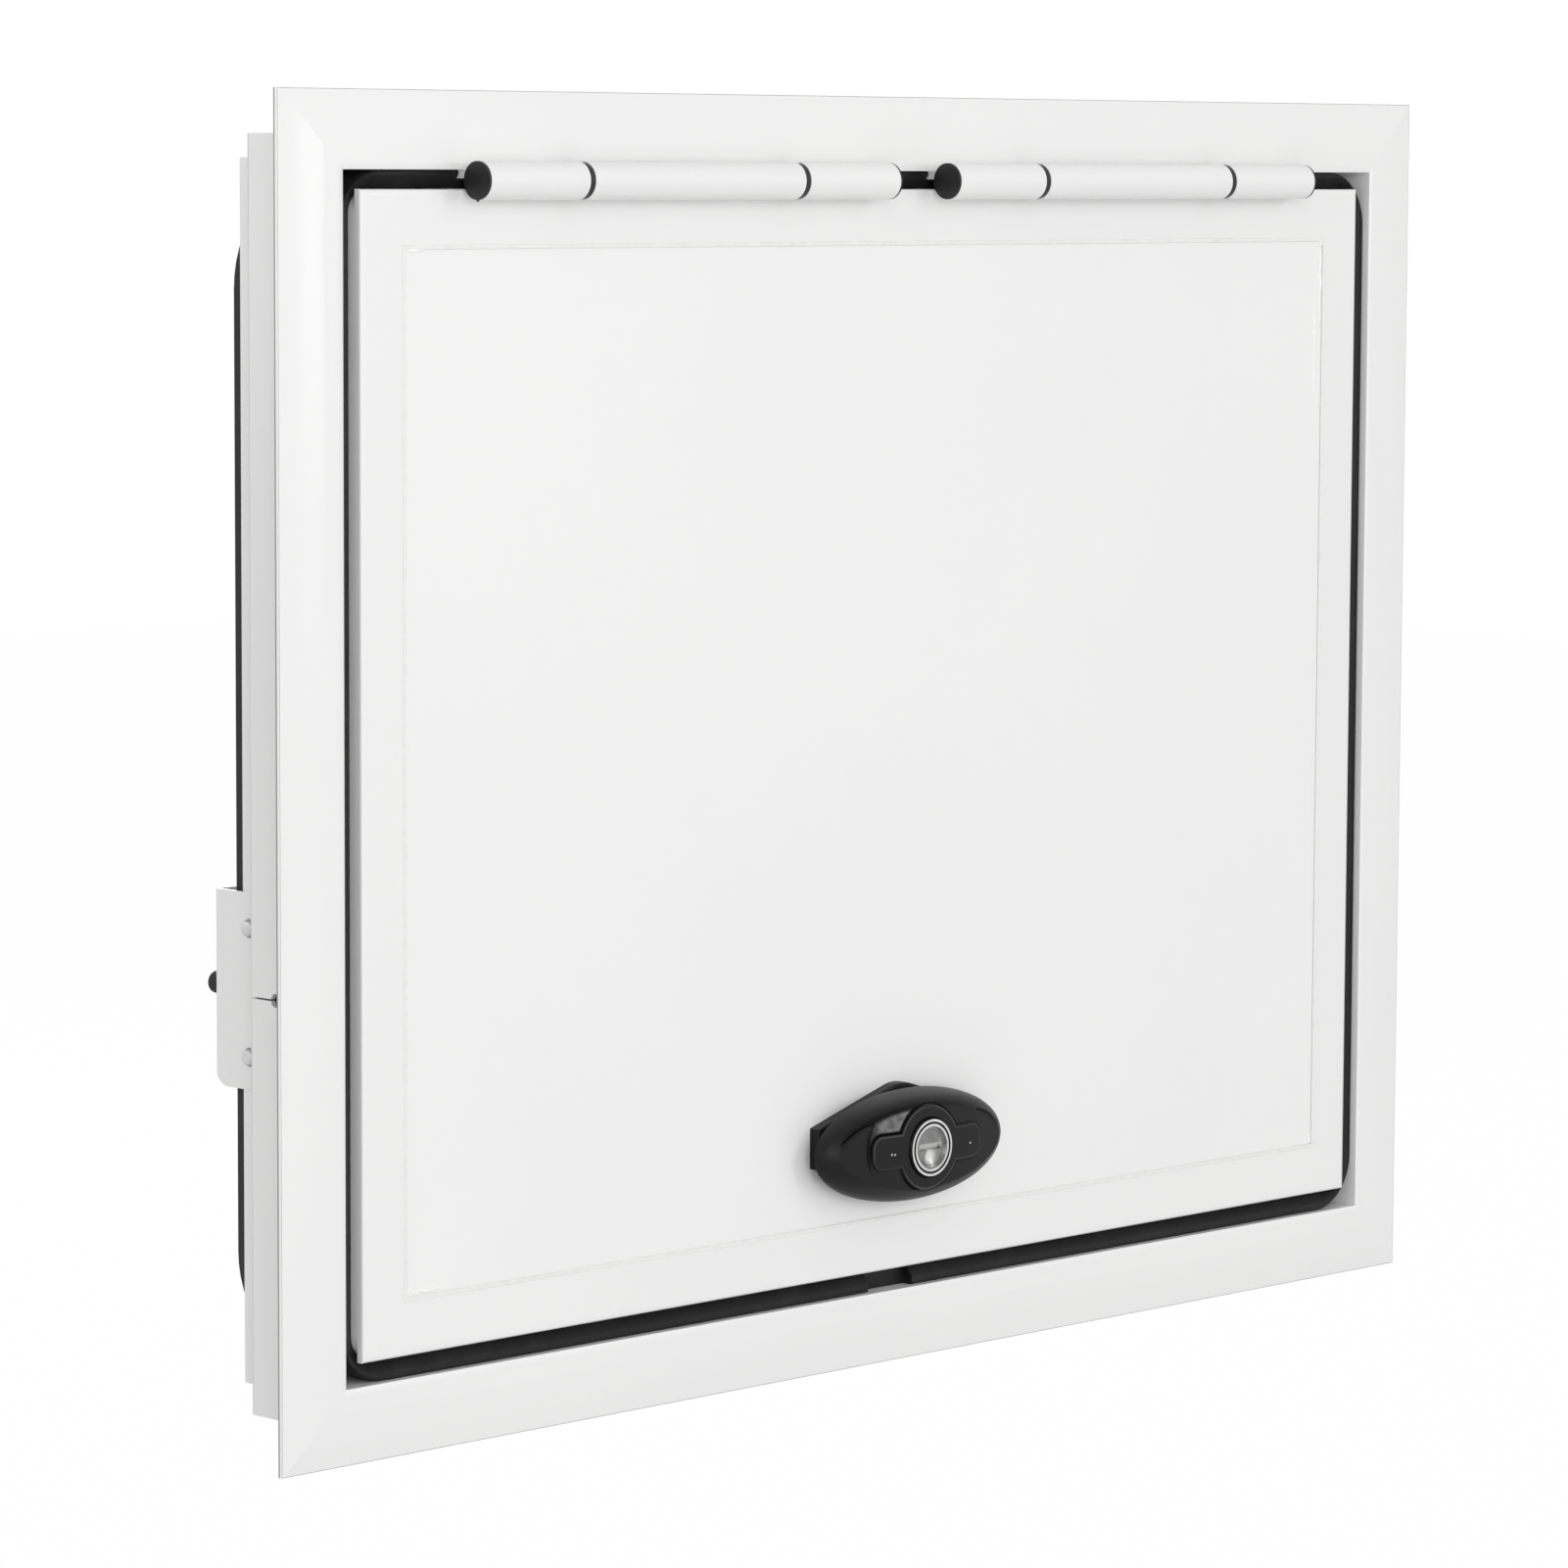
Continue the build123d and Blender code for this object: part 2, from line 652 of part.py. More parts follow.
# fine sealing bead over the joint between border and panel
with BuildPart() as panel_bead:
    with BuildSketch(facing(door_face)):
        door_outline(face_border - bead_width / 2)
        door_outline(face_border + bead_width / 2, mode=Mode.SUBTRACT)
    extrude(amount=bead_height)
    fillet(panel_bead.edges().group_by(Axis.Y)[0], bead_round)
panel_bead.part.label = "panel_bead"
export_step(panel_bead.part, "parts/panel_bead.step")

# insulating core
with BuildPart() as door_core:
    with BuildSketch(facing(core_back)):
        door_outline(rim_wall, rim_inner_corner)
        lock_circle(housing_radius + hole_clearance, mode=Mode.SUBTRACT)
    extrude(amount=core_back - core_front)
door_core.part.label = "door_core"
export_step(door_core.part, "parts/door_core.step")

# back panel inside the rear lip
with BuildPart() as door_back_panel:
    with BuildSketch(facing(door_back)):
        door_outline(body_step + rear_border)
        lock_circle(housing_radius + hole_clearance, mode=Mode.SUBTRACT)
    extrude(amount=border_sheet)
door_back_panel.part.label = "door_back_panel"
export_step(door_back_panel.part, "parts/door_back_panel.step")

# door leaves: a plate on the door's top edge and one long knuckle in the middle
with BuildPart() as hinge_door_leaf_left:
    with BuildSketch(Plane.XY.offset(door_body_top)):
        with Locations((hinge_left, (door_leaf_front + leaf_back) / 2)):
            Rectangle(2 * leaf_half, leaf_back - door_leaf_front)
    extrude(amount=leaf_thickness + body_top_step)
    with BuildSketch(Plane.XY.offset(door_top)):
        with Locations((hinge_left, (barrel_depth + door_leaf_front) / 2)):
            Rectangle(middle_knuckle, door_leaf_front - barrel_depth)
    extrude(amount=leaf_thickness)
    with BuildSketch(Plane.YZ.offset(hinge_left - middle_knuckle / 2)):
        barrel_circle(barrel_radius)
    extrude(amount=middle_knuckle)
    with BuildSketch(Plane.YZ.offset(hinge_left - middle_knuckle / 2)):
        barrel_circle(pin_hole)
    extrude(amount=middle_knuckle, mode=Mode.SUBTRACT)
    with BuildSketch(Plane(origin=(0, 0, door_leaf_high), x_dir=(1, 0, 0), z_dir=(0, 0, -1))):
        screw_row(hinge_left, leaf_screw_head + hole_clearance, -leaf_screw_y)
    extrude(amount=sink_depth, taper=45, mode=Mode.SUBTRACT)
    with BuildSketch(Plane.XY.offset(door_top)):
        screw_row(hinge_left, leaf_screw_radius + hole_clearance)
    extrude(amount=leaf_thickness + body_top_step, both=True, mode=Mode.SUBTRACT)
hinge_door_leaf_left.part.label = "hinge_door_leaf_left"
export_step(hinge_door_leaf_left.part, "parts/hinge_door_leaf_left.step")

with BuildPart() as hinge_door_leaf_right:
    with BuildSketch(Plane.XY.offset(door_body_top)):
        with Locations((hinge_right, (door_leaf_front + leaf_back) / 2)):
            Rectangle(2 * leaf_half, leaf_back - door_leaf_front)
    extrude(amount=leaf_thickness + body_top_step)
    with BuildSketch(Plane.XY.offset(door_top)):
        with Locations((hinge_right, (barrel_depth + door_leaf_front) / 2)):
            Rectangle(middle_knuckle, door_leaf_front - barrel_depth)
    extrude(amount=leaf_thickness)
    with BuildSketch(Plane.YZ.offset(hinge_right - middle_knuckle / 2)):
        barrel_circle(barrel_radius)
    extrude(amount=middle_knuckle)
    with BuildSketch(Plane.YZ.offset(hinge_right - middle_knuckle / 2)):
        barrel_circle(pin_hole)
    extrude(amount=middle_knuckle, mode=Mode.SUBTRACT)
    with BuildSketch(Plane(origin=(0, 0, door_leaf_high), x_dir=(1, 0, 0), z_dir=(0, 0, -1))):
        screw_row(hinge_right, leaf_screw_head + hole_clearance, -leaf_screw_y)
    extrude(amount=sink_depth, taper=45, mode=Mode.SUBTRACT)
    with BuildSketch(Plane.XY.offset(door_top)):
        screw_row(hinge_right, leaf_screw_radius + hole_clearance)
    extrude(amount=leaf_thickness + body_top_step, both=True, mode=Mode.SUBTRACT)
hinge_door_leaf_right.part.label = "hinge_door_leaf_right"
export_step(hinge_door_leaf_right.part, "parts/hinge_door_leaf_right.step")

# countersunk screws through the door leaves into the door's top edge
with BuildPart() as door_leaf_screws:
    with BuildSketch(Plane(origin=(0, 0, door_leaf_high), x_dir=(1, 0, 0), z_dir=(0, 0, -1))):
        screw_row(hinge_left, leaf_screw_head, -leaf_screw_y)
        screw_row(hinge_right, leaf_screw_head, -leaf_screw_y)
    extrude(amount=sink_depth, taper=45)
    with BuildSketch(Plane(origin=(0, 0, door_leaf_high), x_dir=(1, 0, 0), z_dir=(0, 0, -1))):
        screw_row(hinge_left, leaf_screw_radius, -leaf_screw_y)
        screw_row(hinge_right, leaf_screw_radius, -leaf_screw_y)
    extrude(amount=leaf_screw_length)
door_leaf_screws.part.label = "door_leaf_screws"
export_step(door_leaf_screws.part, "parts/door_leaf_screws.step")

# six-sided base plate with rounded crowns, behind the knob
with BuildPart() as lock_base_plate:
    with BuildSketch(facing(panel_front)):
        with Locations((0, plate_z)):
            with GridLocations(0, 2 * (plate_half_height - plate_crown_radius), 1, 2):
                Circle(plate_crown_radius)
            Rectangle(2 * plate_half_length, 2 * plate_end_half)
        make_hull()
        lock_circle(housing_radius + hole_clearance, mode=Mode.SUBTRACT)
    extrude(amount=plate_thickness)
    fillet(lock_base_plate.faces().sort_by(Axis.Y)[0].outer_wire().edges(), edge_round)
lock_base_plate.part.label = "lock_base_plate"
export_step(lock_base_plate.part, "parts/lock_base_plate.step")

# sleeve that carries the spindle through the door
with BuildPart() as lock_housing:
    with BuildSketch(facing(door_back + nut_thickness + housing_tail)):
        lock_circle(housing_radius)
        lock_circle(spindle_radius + spindle_clearance, mode=Mode.SUBTRACT)
    extrude(amount=door_back + nut_thickness + housing_tail - plate_front - housing_recess)
lock_housing.part.label = "lock_housing"
export_step(lock_housing.part, "parts/lock_housing.step")

# nut that clamps the lock to the door
with BuildPart() as lock_nut:
    with BuildSketch(facing(door_back + nut_thickness)):
        with Locations((0, lock_z)):
            RegularPolygon(nut_across / 2, 6, major_radius=False)
        lock_circle(housing_radius + hole_clearance, mode=Mode.SUBTRACT)
    extrude(amount=nut_thickness)
lock_nut.part.label = "lock_nut"
export_step(lock_nut.part, "parts/lock_nut.step")

# barrel-shaped form that curves the knob's face both ways; its front touches the zero plane
with BuildPart() as face_form:
    with BuildSketch(Plane.YZ):
        form_half = 2 * knob_half_height
        form_back = 2 * face_radius
        form_side = form_back - face_height_radius + sqrt(face_height_radius**2 - form_half**2)
        with BuildLine():
            ThreePointArc((form_side, -form_half), (form_back, 0), (form_side, form_half))
            Polyline(
                (form_side, form_half),
                (face_radius, form_half),
                (face_radius, -form_half),
                (form_side, -form_half),
            )
        make_face()
    revolve(axis=Axis((0, face_radius, 0), (0, 0, 1)))

# raised boss of the knob, with a lobe on each side, curved as the face is
with BuildPart() as knob_boss:
    with BuildSketch(facing(knob_wide)):
        lock_circle(boss_radius)
        with Locations((0, lock_z)):
            RectangleRounded(2 * boss_lobe_half_length, 2 * boss_lobe_half_height, boss_lobe_corner)
    extrude(amount=dome_depth)
    add(face_form.part.moved(Location((0, boss_front, lock_z))), mode=Mode.INTERSECT)
    fillet(knob_boss.faces().sort_by(Axis.Y)[0].outer_wire().edges(), boss_round)

# oval turn knob: domed sides, a slightly curved face with two sunk leaves, and the boss
with BuildPart() as turn_knob:
    with BuildSketch(facing(knob_back)):
        with Locations((0, lock_z)):
            Ellipse(knob_half_length - knob_under_inset, knob_half_height - knob_under_inset)
    with BuildSketch(facing(knob_wide)):
        with Locations((0, lock_z)):
            Ellipse(knob_half_length, knob_half_height)
    loft(ruled=True)
    for section_number in range(dome_sections):
        turn = section_number / (dome_sections - 1) * dome_sweep * pi / 180
        half_length = knob_half_length - dome_length_inset * (1 - cos(turn))
        half_height = knob_half_height - dome_height_inset * (1 - cos(turn))
        with BuildSketch(facing(knob_wide - dome_depth * sin(turn))):
            with Locations((0, lock_z)):
                Ellipse(half_length, half_height)
    loft()
    add(face_form.part.moved(Location((0, knob_face, lock_z))), mode=Mode.INTERSECT)
    # sunk leaves that follow the face, deepest along their upper edges
    for side in (-1, 1):
        with BuildSketch(Plane(
            origin=(0, leaf_tip_y - leaf_slope * leaf_tip_x - leaf_runout * leaf_tip_z, lock_z),
            x_dir=(1, side * leaf_slope, 0),
            z_dir=(side * leaf_slope, -1, leaf_runout),
        )):
            tip = (side * leaf_tip_x, leaf_tip_z)
            outer = (side * leaf_outer_x, leaf_outer_z)
            foot = (side * leaf_foot_x, leaf_foot_z)
            with BuildLine():
                ThreePointArc(tip, (side * leaf_upper_x, leaf_upper_z), outer)
                ThreePointArc(outer, (side * leaf_lower_x, leaf_lower_z), foot)
                ThreePointArc(foot, (side * leaf_waist_x, leaf_waist_z), tip)
            make_face()
        extrude(amount=dome_depth, mode=Mode.SUBTRACT)
    add(knob_boss.part)
    # bores for the ring, the key cylinder and the spindle
    with BuildSketch(facing(ring_back)):
        lock_circle(ring_radius + hole_clearance)
    extrude(amount=ring_depth, mode=Mode.SUBTRACT)
    with BuildSketch(facing(plug_back + hole_clearance)):
        lock_circle(plug_radius + plug_clearance)
    extrude(amount=plug_depth, mode=Mode.SUBTRACT)
    with BuildSketch(facing(knob_back)):
        lock_circle(spindle_radius + hole_clearance)
    extrude(amount=spindle_socket + hole_clearance, mode=Mode.SUBTRACT)
turn_knob.part.label = "turn_knob"
export_step(turn_knob.part, "parts/turn_knob.step")

# bright ring round the key cylinder
with BuildPart() as cylinder_ring:
    with BuildSketch(facing(ring_back)):
        lock_circle(ring_radius)
        lock_circle(ring_radius - ring_width, mode=Mode.SUBTRACT)
    extrude(amount=ring_depth)
    with BuildSketch(facing(ring_front + ring_groove_depth)):
        lock_circle(ring_groove_radius + ring_groove_width / 2)
        lock_circle(ring_groove_radius - ring_groove_width / 2, mode=Mode.SUBTRACT)
    extrude(amount=2 * ring_groove_depth, mode=Mode.SUBTRACT)
cylinder_ring.part.label = "cylinder_ring"
export_step(cylinder_ring.part, "parts/cylinder_ring.step")

# key cylinder with its shuttered keyway
with BuildPart() as key_cylinder:
    with BuildSketch(facing(plug_back)):
        lock_circle(plug_radius)
    extrude(amount=plug_depth)
    with BuildSketch(facing(plug_front + keyway_depth)):
        with Locations((0, lock_z)):
            Rectangle(keyway_length, keyway_width)
    extrude(amount=2 * keyway_depth, mode=Mode.SUBTRACT)
    # finger dish below the keyway
    with Locations((0, plug_front + dish_depth - dish_radius, lock_z - dish_drop)):
        Sphere(dish_radius, mode=Mode.SUBTRACT)
key_cylinder.part.label = "key_cylinder"
export_step(key_cylinder.part, "parts/key_cylinder.step")

# spindle from the knob to the cam
with BuildPart() as knob_spindle:
    with BuildSketch(facing(cam_front)):
        lock_circle(spindle_radius)
    extrude(amount=cam_front - spindle_front)
    with BuildSketch(facing(cam_front)):
        lock_circle(cam_bolt_radius + hole_clearance)
    extrude(amount=cam_bolt_length - cam_thickness + hole_clearance, mode=Mode.SUBTRACT)
knob_spindle.part.label = "knob_spindle"
export_step(knob_spindle.part, "parts/knob_spindle.step")

# cam that swings behind the door stop
with BuildPart() as lock_cam:
    with BuildSketch(facing(cam_back)):
        lock_circle(cam_hub_radius)
        with Locations(((cam_length - cam_width / 2) / 2, lock_z)):
            Rectangle(cam_length - cam_width / 2, cam_width)
        with Locations((cam_length - cam_width / 2, lock_z)):
            Circle(cam_width / 2)
        lock_circle(cam_bolt_radius + hole_clearance, mode=Mode.SUBTRACT)
    extrude(amount=cam_thickness)
lock_cam.part.label = "lock_cam"
export_step(lock_cam.part, "parts/lock_cam.step")

# bolt that holds the cam on the spindle
with BuildPart() as cam_bolt:
    with BuildSketch(facing(cam_back + cam_bolt_head_height)):
        with Locations((0, lock_z)):
            RegularPolygon(cam_bolt_head, 6)
    extrude(amount=cam_bolt_head_height)
    with BuildSketch(facing(cam_back)):
        lock_circle(cam_bolt_radius)
    extrude(amount=cam_bolt_length)
cam_bolt.part.label = "cam_bolt"
export_step(cam_bolt.part, "parts/cam_bolt.step")
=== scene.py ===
import bpy
import bmesh
from math import cos, sin, radians
from mathutils import Matrix, Vector, noise


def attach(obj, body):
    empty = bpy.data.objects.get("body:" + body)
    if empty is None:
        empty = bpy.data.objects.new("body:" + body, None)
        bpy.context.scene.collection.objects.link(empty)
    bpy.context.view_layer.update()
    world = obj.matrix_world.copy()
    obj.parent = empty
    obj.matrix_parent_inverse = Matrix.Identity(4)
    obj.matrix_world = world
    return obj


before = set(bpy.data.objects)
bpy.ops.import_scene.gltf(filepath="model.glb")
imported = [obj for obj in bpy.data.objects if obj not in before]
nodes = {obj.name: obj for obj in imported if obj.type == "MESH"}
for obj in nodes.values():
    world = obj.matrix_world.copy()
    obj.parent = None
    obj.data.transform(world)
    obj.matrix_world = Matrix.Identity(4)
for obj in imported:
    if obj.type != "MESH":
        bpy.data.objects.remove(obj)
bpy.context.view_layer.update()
print("frame loaded:", len(nodes), "nodes")

# The camera stands where the photograph was taken, left of the door and slightly above its middle.
cameraView = {
    "place": (-1.72893, -1.66135, 0.22401),
    "yaw": 45.160,
    "pitch": 5.802,
    "roll": 0.2591,
    "lens": 140.26,
    "sensor": 36.0,
    "clip": (0.05, 60),
}


def makeCamera(view):
    yaw, pitch, roll = (radians(view[key]) for key in ("yaw", "pitch", "roll"))
    ahead = Vector((cos(pitch) * sin(yaw), cos(pitch) * cos(yaw), -sin(pitch)))
    levelRight = Vector((cos(yaw), -sin(yaw), 0))
    levelDown = ahead.cross(levelRight)
    right = cos(roll) * levelRight - sin(roll) * levelDown
    down = sin(roll) * levelRight + cos(roll) * levelDown
    data = bpy.data.cameras.new("photoCamera")
    data.lens = view["lens"]
    data.sensor_width = view["sensor"]
    data.clip_start, data.clip_end = view["clip"]
    camera = bpy.data.objects.new("photoCamera", data)
    axes = Matrix((right, -down, -ahead)).transposed()
    camera.matrix_world = Matrix.Translation(view["place"]) @ axes.to_4x4()
    bpy.context.scene.collection.objects.link(camera)
    bpy.context.scene.camera = camera


makeCamera(cameraView)
print("camera ready")


# A value that changes over a surface. An expression on such values adds its Math nodes.
class Field:
    def __init__(self, shading, socket):
        self.shading = shading
        self.socket = socket

    def maths(self, operation, first, second):
        return self.shading.add("ShaderNodeMath", {"operation": operation}, {0: first, 1: second})

    def __add__(self, other):
        return self.maths("ADD", self, other)

    def __sub__(self, other):
        return self.maths("SUBTRACT", self, other)

    def __rsub__(self, other):
        return self.maths("SUBTRACT", other, self)

    def __mul__(self, other):
        return self.maths("MULTIPLY", self, other)

    def __truediv__(self, other):
        return self.maths("DIVIDE", self, other)

    def __pow__(self, other):
        return self.maths("POWER", self, other)

    __radd__ = __add__
    __rmul__ = __mul__

    def absolute(self):
        return self.maths("ABSOLUTE", self, 0.0)

    def larger(self, other):
        return self.maths("MAXIMUM", self, other)

    def smaller(self, other):
        return self.maths("MINIMUM", self, other)

    # Masks: 1 above a level, below it, or within a width of it, with a soft edge.
    def above(self, level, softness):
        limits = {"From Min": level - softness, "From Max": level + softness}
        return self.shading.add("ShaderNodeMapRange", {"interpolation_type": "SMOOTHSTEP"},
                                {"Value": self, **limits})

    def below(self, level, softness):
        return 1.0 - self.above(level, softness)

    def near(self, level, width, softness):
        return (self - level).absolute().below(width, softness)


# The nodes of one material, or of the sky.
class Shading:
    def __init__(self, tree):
        self.tree = tree

    def add(self, kind, settings, values, output=0):
        node = self.tree.nodes.new(kind)
        for key, value in settings.items():
            setattr(node, key, value)
        for key, value in values.items():
            self.feed(node.inputs[key], value)
        return Field(self, node.outputs[output])

    def feed(self, socket, value):
        if isinstance(value, Field):
            self.tree.links.new(value.socket, socket)
        elif socket.type == "RGBA" and len(value) == 3:
            socket.default_value = (*value, 1)
        else:
            socket.default_value = value

    # 1 for the rays that see the studio itself.
    def seeingRays(self):
        camera, glossy, through = (
            self.add("ShaderNodeLightPath", {}, {}, name)
            for name in ("Is Camera Ray", "Is Glossy Ray", "Is Transmission Ray")
        )
        return camera.larger(glossy).larger(through)


class Finish(Shading):
    def __init__(self, name, colour, roughness, metallic=0.0, **constants):
        self.material = bpy.data.materials.new(name)
        self.material.use_nodes = True
        super().__init__(self.material.node_tree)
        self.shader = self.tree.nodes["Principled BSDF"]
        self.plainRoughness = roughness
        self.surface("Base Color", colour)
        self.surface("Roughness", roughness)
        self.surface("Metallic", metallic)
        for key, value in constants.items():
            self.surface(key.replace("_", " "), value)
        self.place = self.add("ShaderNodeTexCoord", {}, {}, "Object")

    def surface(self, name, value):
        self.feed(self.shader.inputs[name], value)

    def noise(self, scale, detail, stretch=None):
        place = self.place
        if stretch:
            place = self.add("ShaderNodeMapping", {}, {"Vector": place, "Scale": stretch}, "Vector")
        return self.add("ShaderNodeTexNoise", {}, {"Vector": place, "Scale": scale, "Detail": detail}, "Fac")

    def cells(self, scale):
        return self.add("ShaderNodeTexVoronoi", {}, {"Vector": self.place, "Scale": scale}, "Distance")

    def axis(self, letter):
        return self.add("ShaderNodeSeparateXYZ", {}, {"Vector": self.place}, letter)

    def millimetres(self, letter, centre=0.0):
        return (self.axis(letter) - centre) * 1000.0

    def mix(self, mask, first, second):
        return self.add("ShaderNodeMix", {"data_type": "RGBA"}, {0: mask, 6: first, 7: second}, 2)

    # A pattern from 0 to 1 adds up to this much to the plain roughness, from where it starts.
    def gloss(self, pattern, added, start=0.0):
        self.surface("Roughness", self.plainRoughness + start + added * pattern)

    def relief(self, height, distance, strength=1.0, base=None):
        values = {"Height": height, "Distance": distance, "Strength": strength}
        if base:
            values["Normal"] = base
        bumped = self.add("ShaderNodeBump", {}, values)
        self.surface("Normal", bumped)
        return bumped


# In the settings of a finish, a noise is its scale and detail, a mask is its level and softness, a gloss
# is what its noise adds to the roughness and where that starts, and a relief is its depth and strength.

# Gloss white paint on aluminium: faint orange peel, faint wipe marks in the gloss. Its lighter edge colour is
# a painted highlight on rounded edges, and its dark colour for fine lines is painted shade.
paint = {
    "colour": (0.838, 0.838, 0.834), "shade": (0.823, 0.824, 0.821), "roughness": 0.22,
    "clouds": (6, 3), "cloudMask": (0.5, 0.25), "wipes": (22, 2, (1, 1, 0.3)), "wipeGloss": (0.05, -0.02),
    "coat": 0.2, "coatRoughness": 0.2, "waves": (9, 1), "peel": (420, 1), "peelStrength": 0.5,
    "edge": (0.9, 0.9, 0.897), "edgeDrop": 0.0006, "paintedShade": (0.2, 0.2, 0.195),
}


def makePaint(name, peelDepth, waveDepth, edge=None, paintedShade=None):
    finish = Finish(name, paint["colour"], paint["roughness"],
                    Coat_Weight=paint["coat"], Coat_Roughness=paint["coatRoughness"])
    clouds = finish.noise(*paint["clouds"]).above(*paint["cloudMask"])
    colour = finish.mix(clouds, paint["colour"], paint["shade"])
    finish.gloss(finish.noise(*paint["wipes"]), *paint["wipeGloss"])
    normal = finish.relief(finish.noise(*paint["waves"]), waveDepth)
    # A painted highlight on rounded edges, with a bump that drops the paint towards them.
    if edge:
        rounding = edge(finish)
        colour = finish.mix(rounding, colour, paint["edge"])
        normal = finish.relief(-paint["edgeDrop"] * rounding, 1.0, 1.0, normal)
    # Painted shade in fine dark lines.
    if paintedShade:
        colour = finish.mix(paintedShade(finish), colour, paint["paintedShade"])
    finish.surface("Base Color", colour)
    finish.relief(finish.noise(*paint["peel"]), peelDepth, paint["peelStrength"], normal)
    return finish.material


# Where a face comes close to a rounded edge: zero a little inside, one at the edge.
def roundedBy(distance, width):
    return ((1.0 - distance / width).larger(0.0).smaller(1.0)) ** 2


# Painted highlight and painted shade lines on the frame's paint, in millimetres. A line is its level, its
# half width and its softness, and a limit is its level and its softness. The seam is at its height in metres.
frameMarks = {
    "widerBy": 66.0,  # half the frame's width less half its height
    "opening": (287.2, 221.2), "openingRound": 2.6, "flangeTip": (315.8, 0.1),
    "stepCorner": (300.0, 0.4, 0.2),
    "stepLight": (33.1, 0.35, 0.2), "stepLightStrength": 0.6,
    "stepDark": (34.1, 0.3, 0.15), "stepDarkStrength": 0.5,
    "backTip": (315.85, 0.08), "backDepth": (-0.75, 0.15), "backStrength": 0.9,
    "seamHeight": -0.0794, "screwFromSeam": 23.8, "screwDepth": 42.3,
    "screwRing": (3.2, 0.4, 0.25), "screwWall": (294.0, 0.5), "screwStrength": 0.9,
}


# Painted highlight: the opening's inner edge, the flange's thin outer edge and the step's edge are painted
# lighter, as where they catch the light, and a bump also drops the paint there.
def frameEdgeHighlight(finish):
    across = finish.millimetres("X").absolute()
    up = finish.millimetres("Z").absolute()
    depth = finish.millimetres("Y")
    layer = across.larger(up + frameMarks["widerBy"])
    openingSide, openingTop = frameMarks["opening"]
    inner = roundedBy((across - openingSide).larger(up - openingTop), frameMarks["openingRound"])
    outer = layer.above(*frameMarks["flangeTip"])
    step = frameMarks["stepLightStrength"] * layer.near(*frameMarks["stepCorner"])
    step = step * depth.near(*frameMarks["stepLight"])
    return inner.larger(outer).larger(step)


# Fine dark lines of painted shade, where shadow falls: the flange's back edge, the step's edge, and round the
# bracket's screws.
def frameShadeLines(finish):
    across = finish.millimetres("X").absolute()
    up = finish.millimetres("Z").absolute()
    depth = finish.millimetres("Y")
    layer = across.larger(up + frameMarks["widerBy"])
    flangeBack = frameMarks["backStrength"] * layer.above(*frameMarks["backTip"])
    flangeBack = flangeBack * depth.above(*frameMarks["backDepth"])
    stepEdge = frameMarks["stepDarkStrength"] * layer.near(*frameMarks["stepCorner"])
    stepEdge = stepEdge * depth.near(*frameMarks["stepDark"])
    fromSeam = finish.millimetres("Z", frameMarks["seamHeight"]).absolute() - frameMarks["screwFromSeam"]
    fromScrew = ((depth - frameMarks["screwDepth"]) ** 2 + fromSeam * fromSeam) ** 0.5
    roundScrew = frameMarks["screwStrength"] * fromScrew.near(*frameMarks["screwRing"])
    roundScrew = roundScrew * across.below(*frameMarks["screwWall"])
    return flangeBack.larger(stepEdge).larger(roundScrew)


# The door's front edge, painted lighter as a highlight, with a bump that drops the paint there: its middle's
# height in metres, and its half width and half height.
doorMarks = {"middle": 0.00075, "edge": (279.0, 213.45), "edgeRound": 2.4}


def doorEdgeHighlight(finish):
    across = finish.millimetres("X").absolute()
    up = finish.millimetres("Z", doorMarks["middle"]).absolute()
    edgeSide, edgeTop = doorMarks["edge"]
    return roundedBy((edgeSide - across).smaller(edgeTop - up), doorMarks["edgeRound"])


# Smooth white door skin, slightly wavy as a bonded sheet is.
skin = {
    "colour": (0.858, 0.858, 0.854), "shade": (0.842, 0.843, 0.84), "roughness": 0.34,
    "clouds": (5, 3), "cloudMask": (0.52, 0.22), "smudges": (30, 4), "smudgeGloss": (0.08, -0.03),
    "waves": (4, 1), "waveRelief": (0.00012, 0.6), "grain": (600, 1), "grainRelief": (0.00001, 0.4),
}


def makeSkin():
    finish = Finish("doorSkin", skin["colour"], skin["roughness"])
    clouds = finish.noise(*skin["clouds"]).above(*skin["cloudMask"])
    finish.surface("Base Color", finish.mix(clouds, skin["colour"], skin["shade"]))
    finish.gloss(finish.noise(*skin["smudges"]), *skin["smudgeGloss"])
    broad = finish.relief(finish.noise(*skin["waves"]), *skin["waveRelief"])
    finish.relief(finish.noise(*skin["grain"]), *skin["grainRelief"], broad)
    return finish.material


# White sealant, lumpy where it was squeezed out.
beadLook = {"colour": (0.825, 0.825, 0.82), "shade": (0.785, 0.785, 0.78), "roughness": 0.3}
# The smears use a lighter copy of the same sealant, as a painted highlight.
smearHighlightLook = {"colour": (0.92, 0.92, 0.915), "shade": (0.86, 0.86, 0.855), "roughness": 0.24}
sealantLumps = {"noise": (260, 3), "mask": (0.55, 0.15), "gloss": 0.12, "relief": (0.0003, 0.8)}


def makeSealant(name, look):
    finish = Finish(name, look["colour"], look["roughness"])
    lumps = finish.noise(*sealantLumps["noise"])
    shaded = lumps.above(*sealantLumps["mask"])
    finish.surface("Base Color", finish.mix(shaded, look["colour"], look["shade"]))
    finish.gloss(lumps, sealantLumps["gloss"])
    finish.relief(lumps, *sealantLumps["relief"])
    return finish.material


# Black rubber of the seals between frame and door.
seal = {
    "colour": (0.007, 0.007, 0.0073), "roughness": 0.4, "specular": 0.22,
    "dust": (90, 5), "dustMask": (0.62, 0.16), "dustStrength": 0.35, "dustColour": (0.028, 0.028, 0.0275),
    "patches": (45, 3), "patchGloss": 0.18, "grain": (900, 2), "grainRelief": (0.00004, 0.6),
}


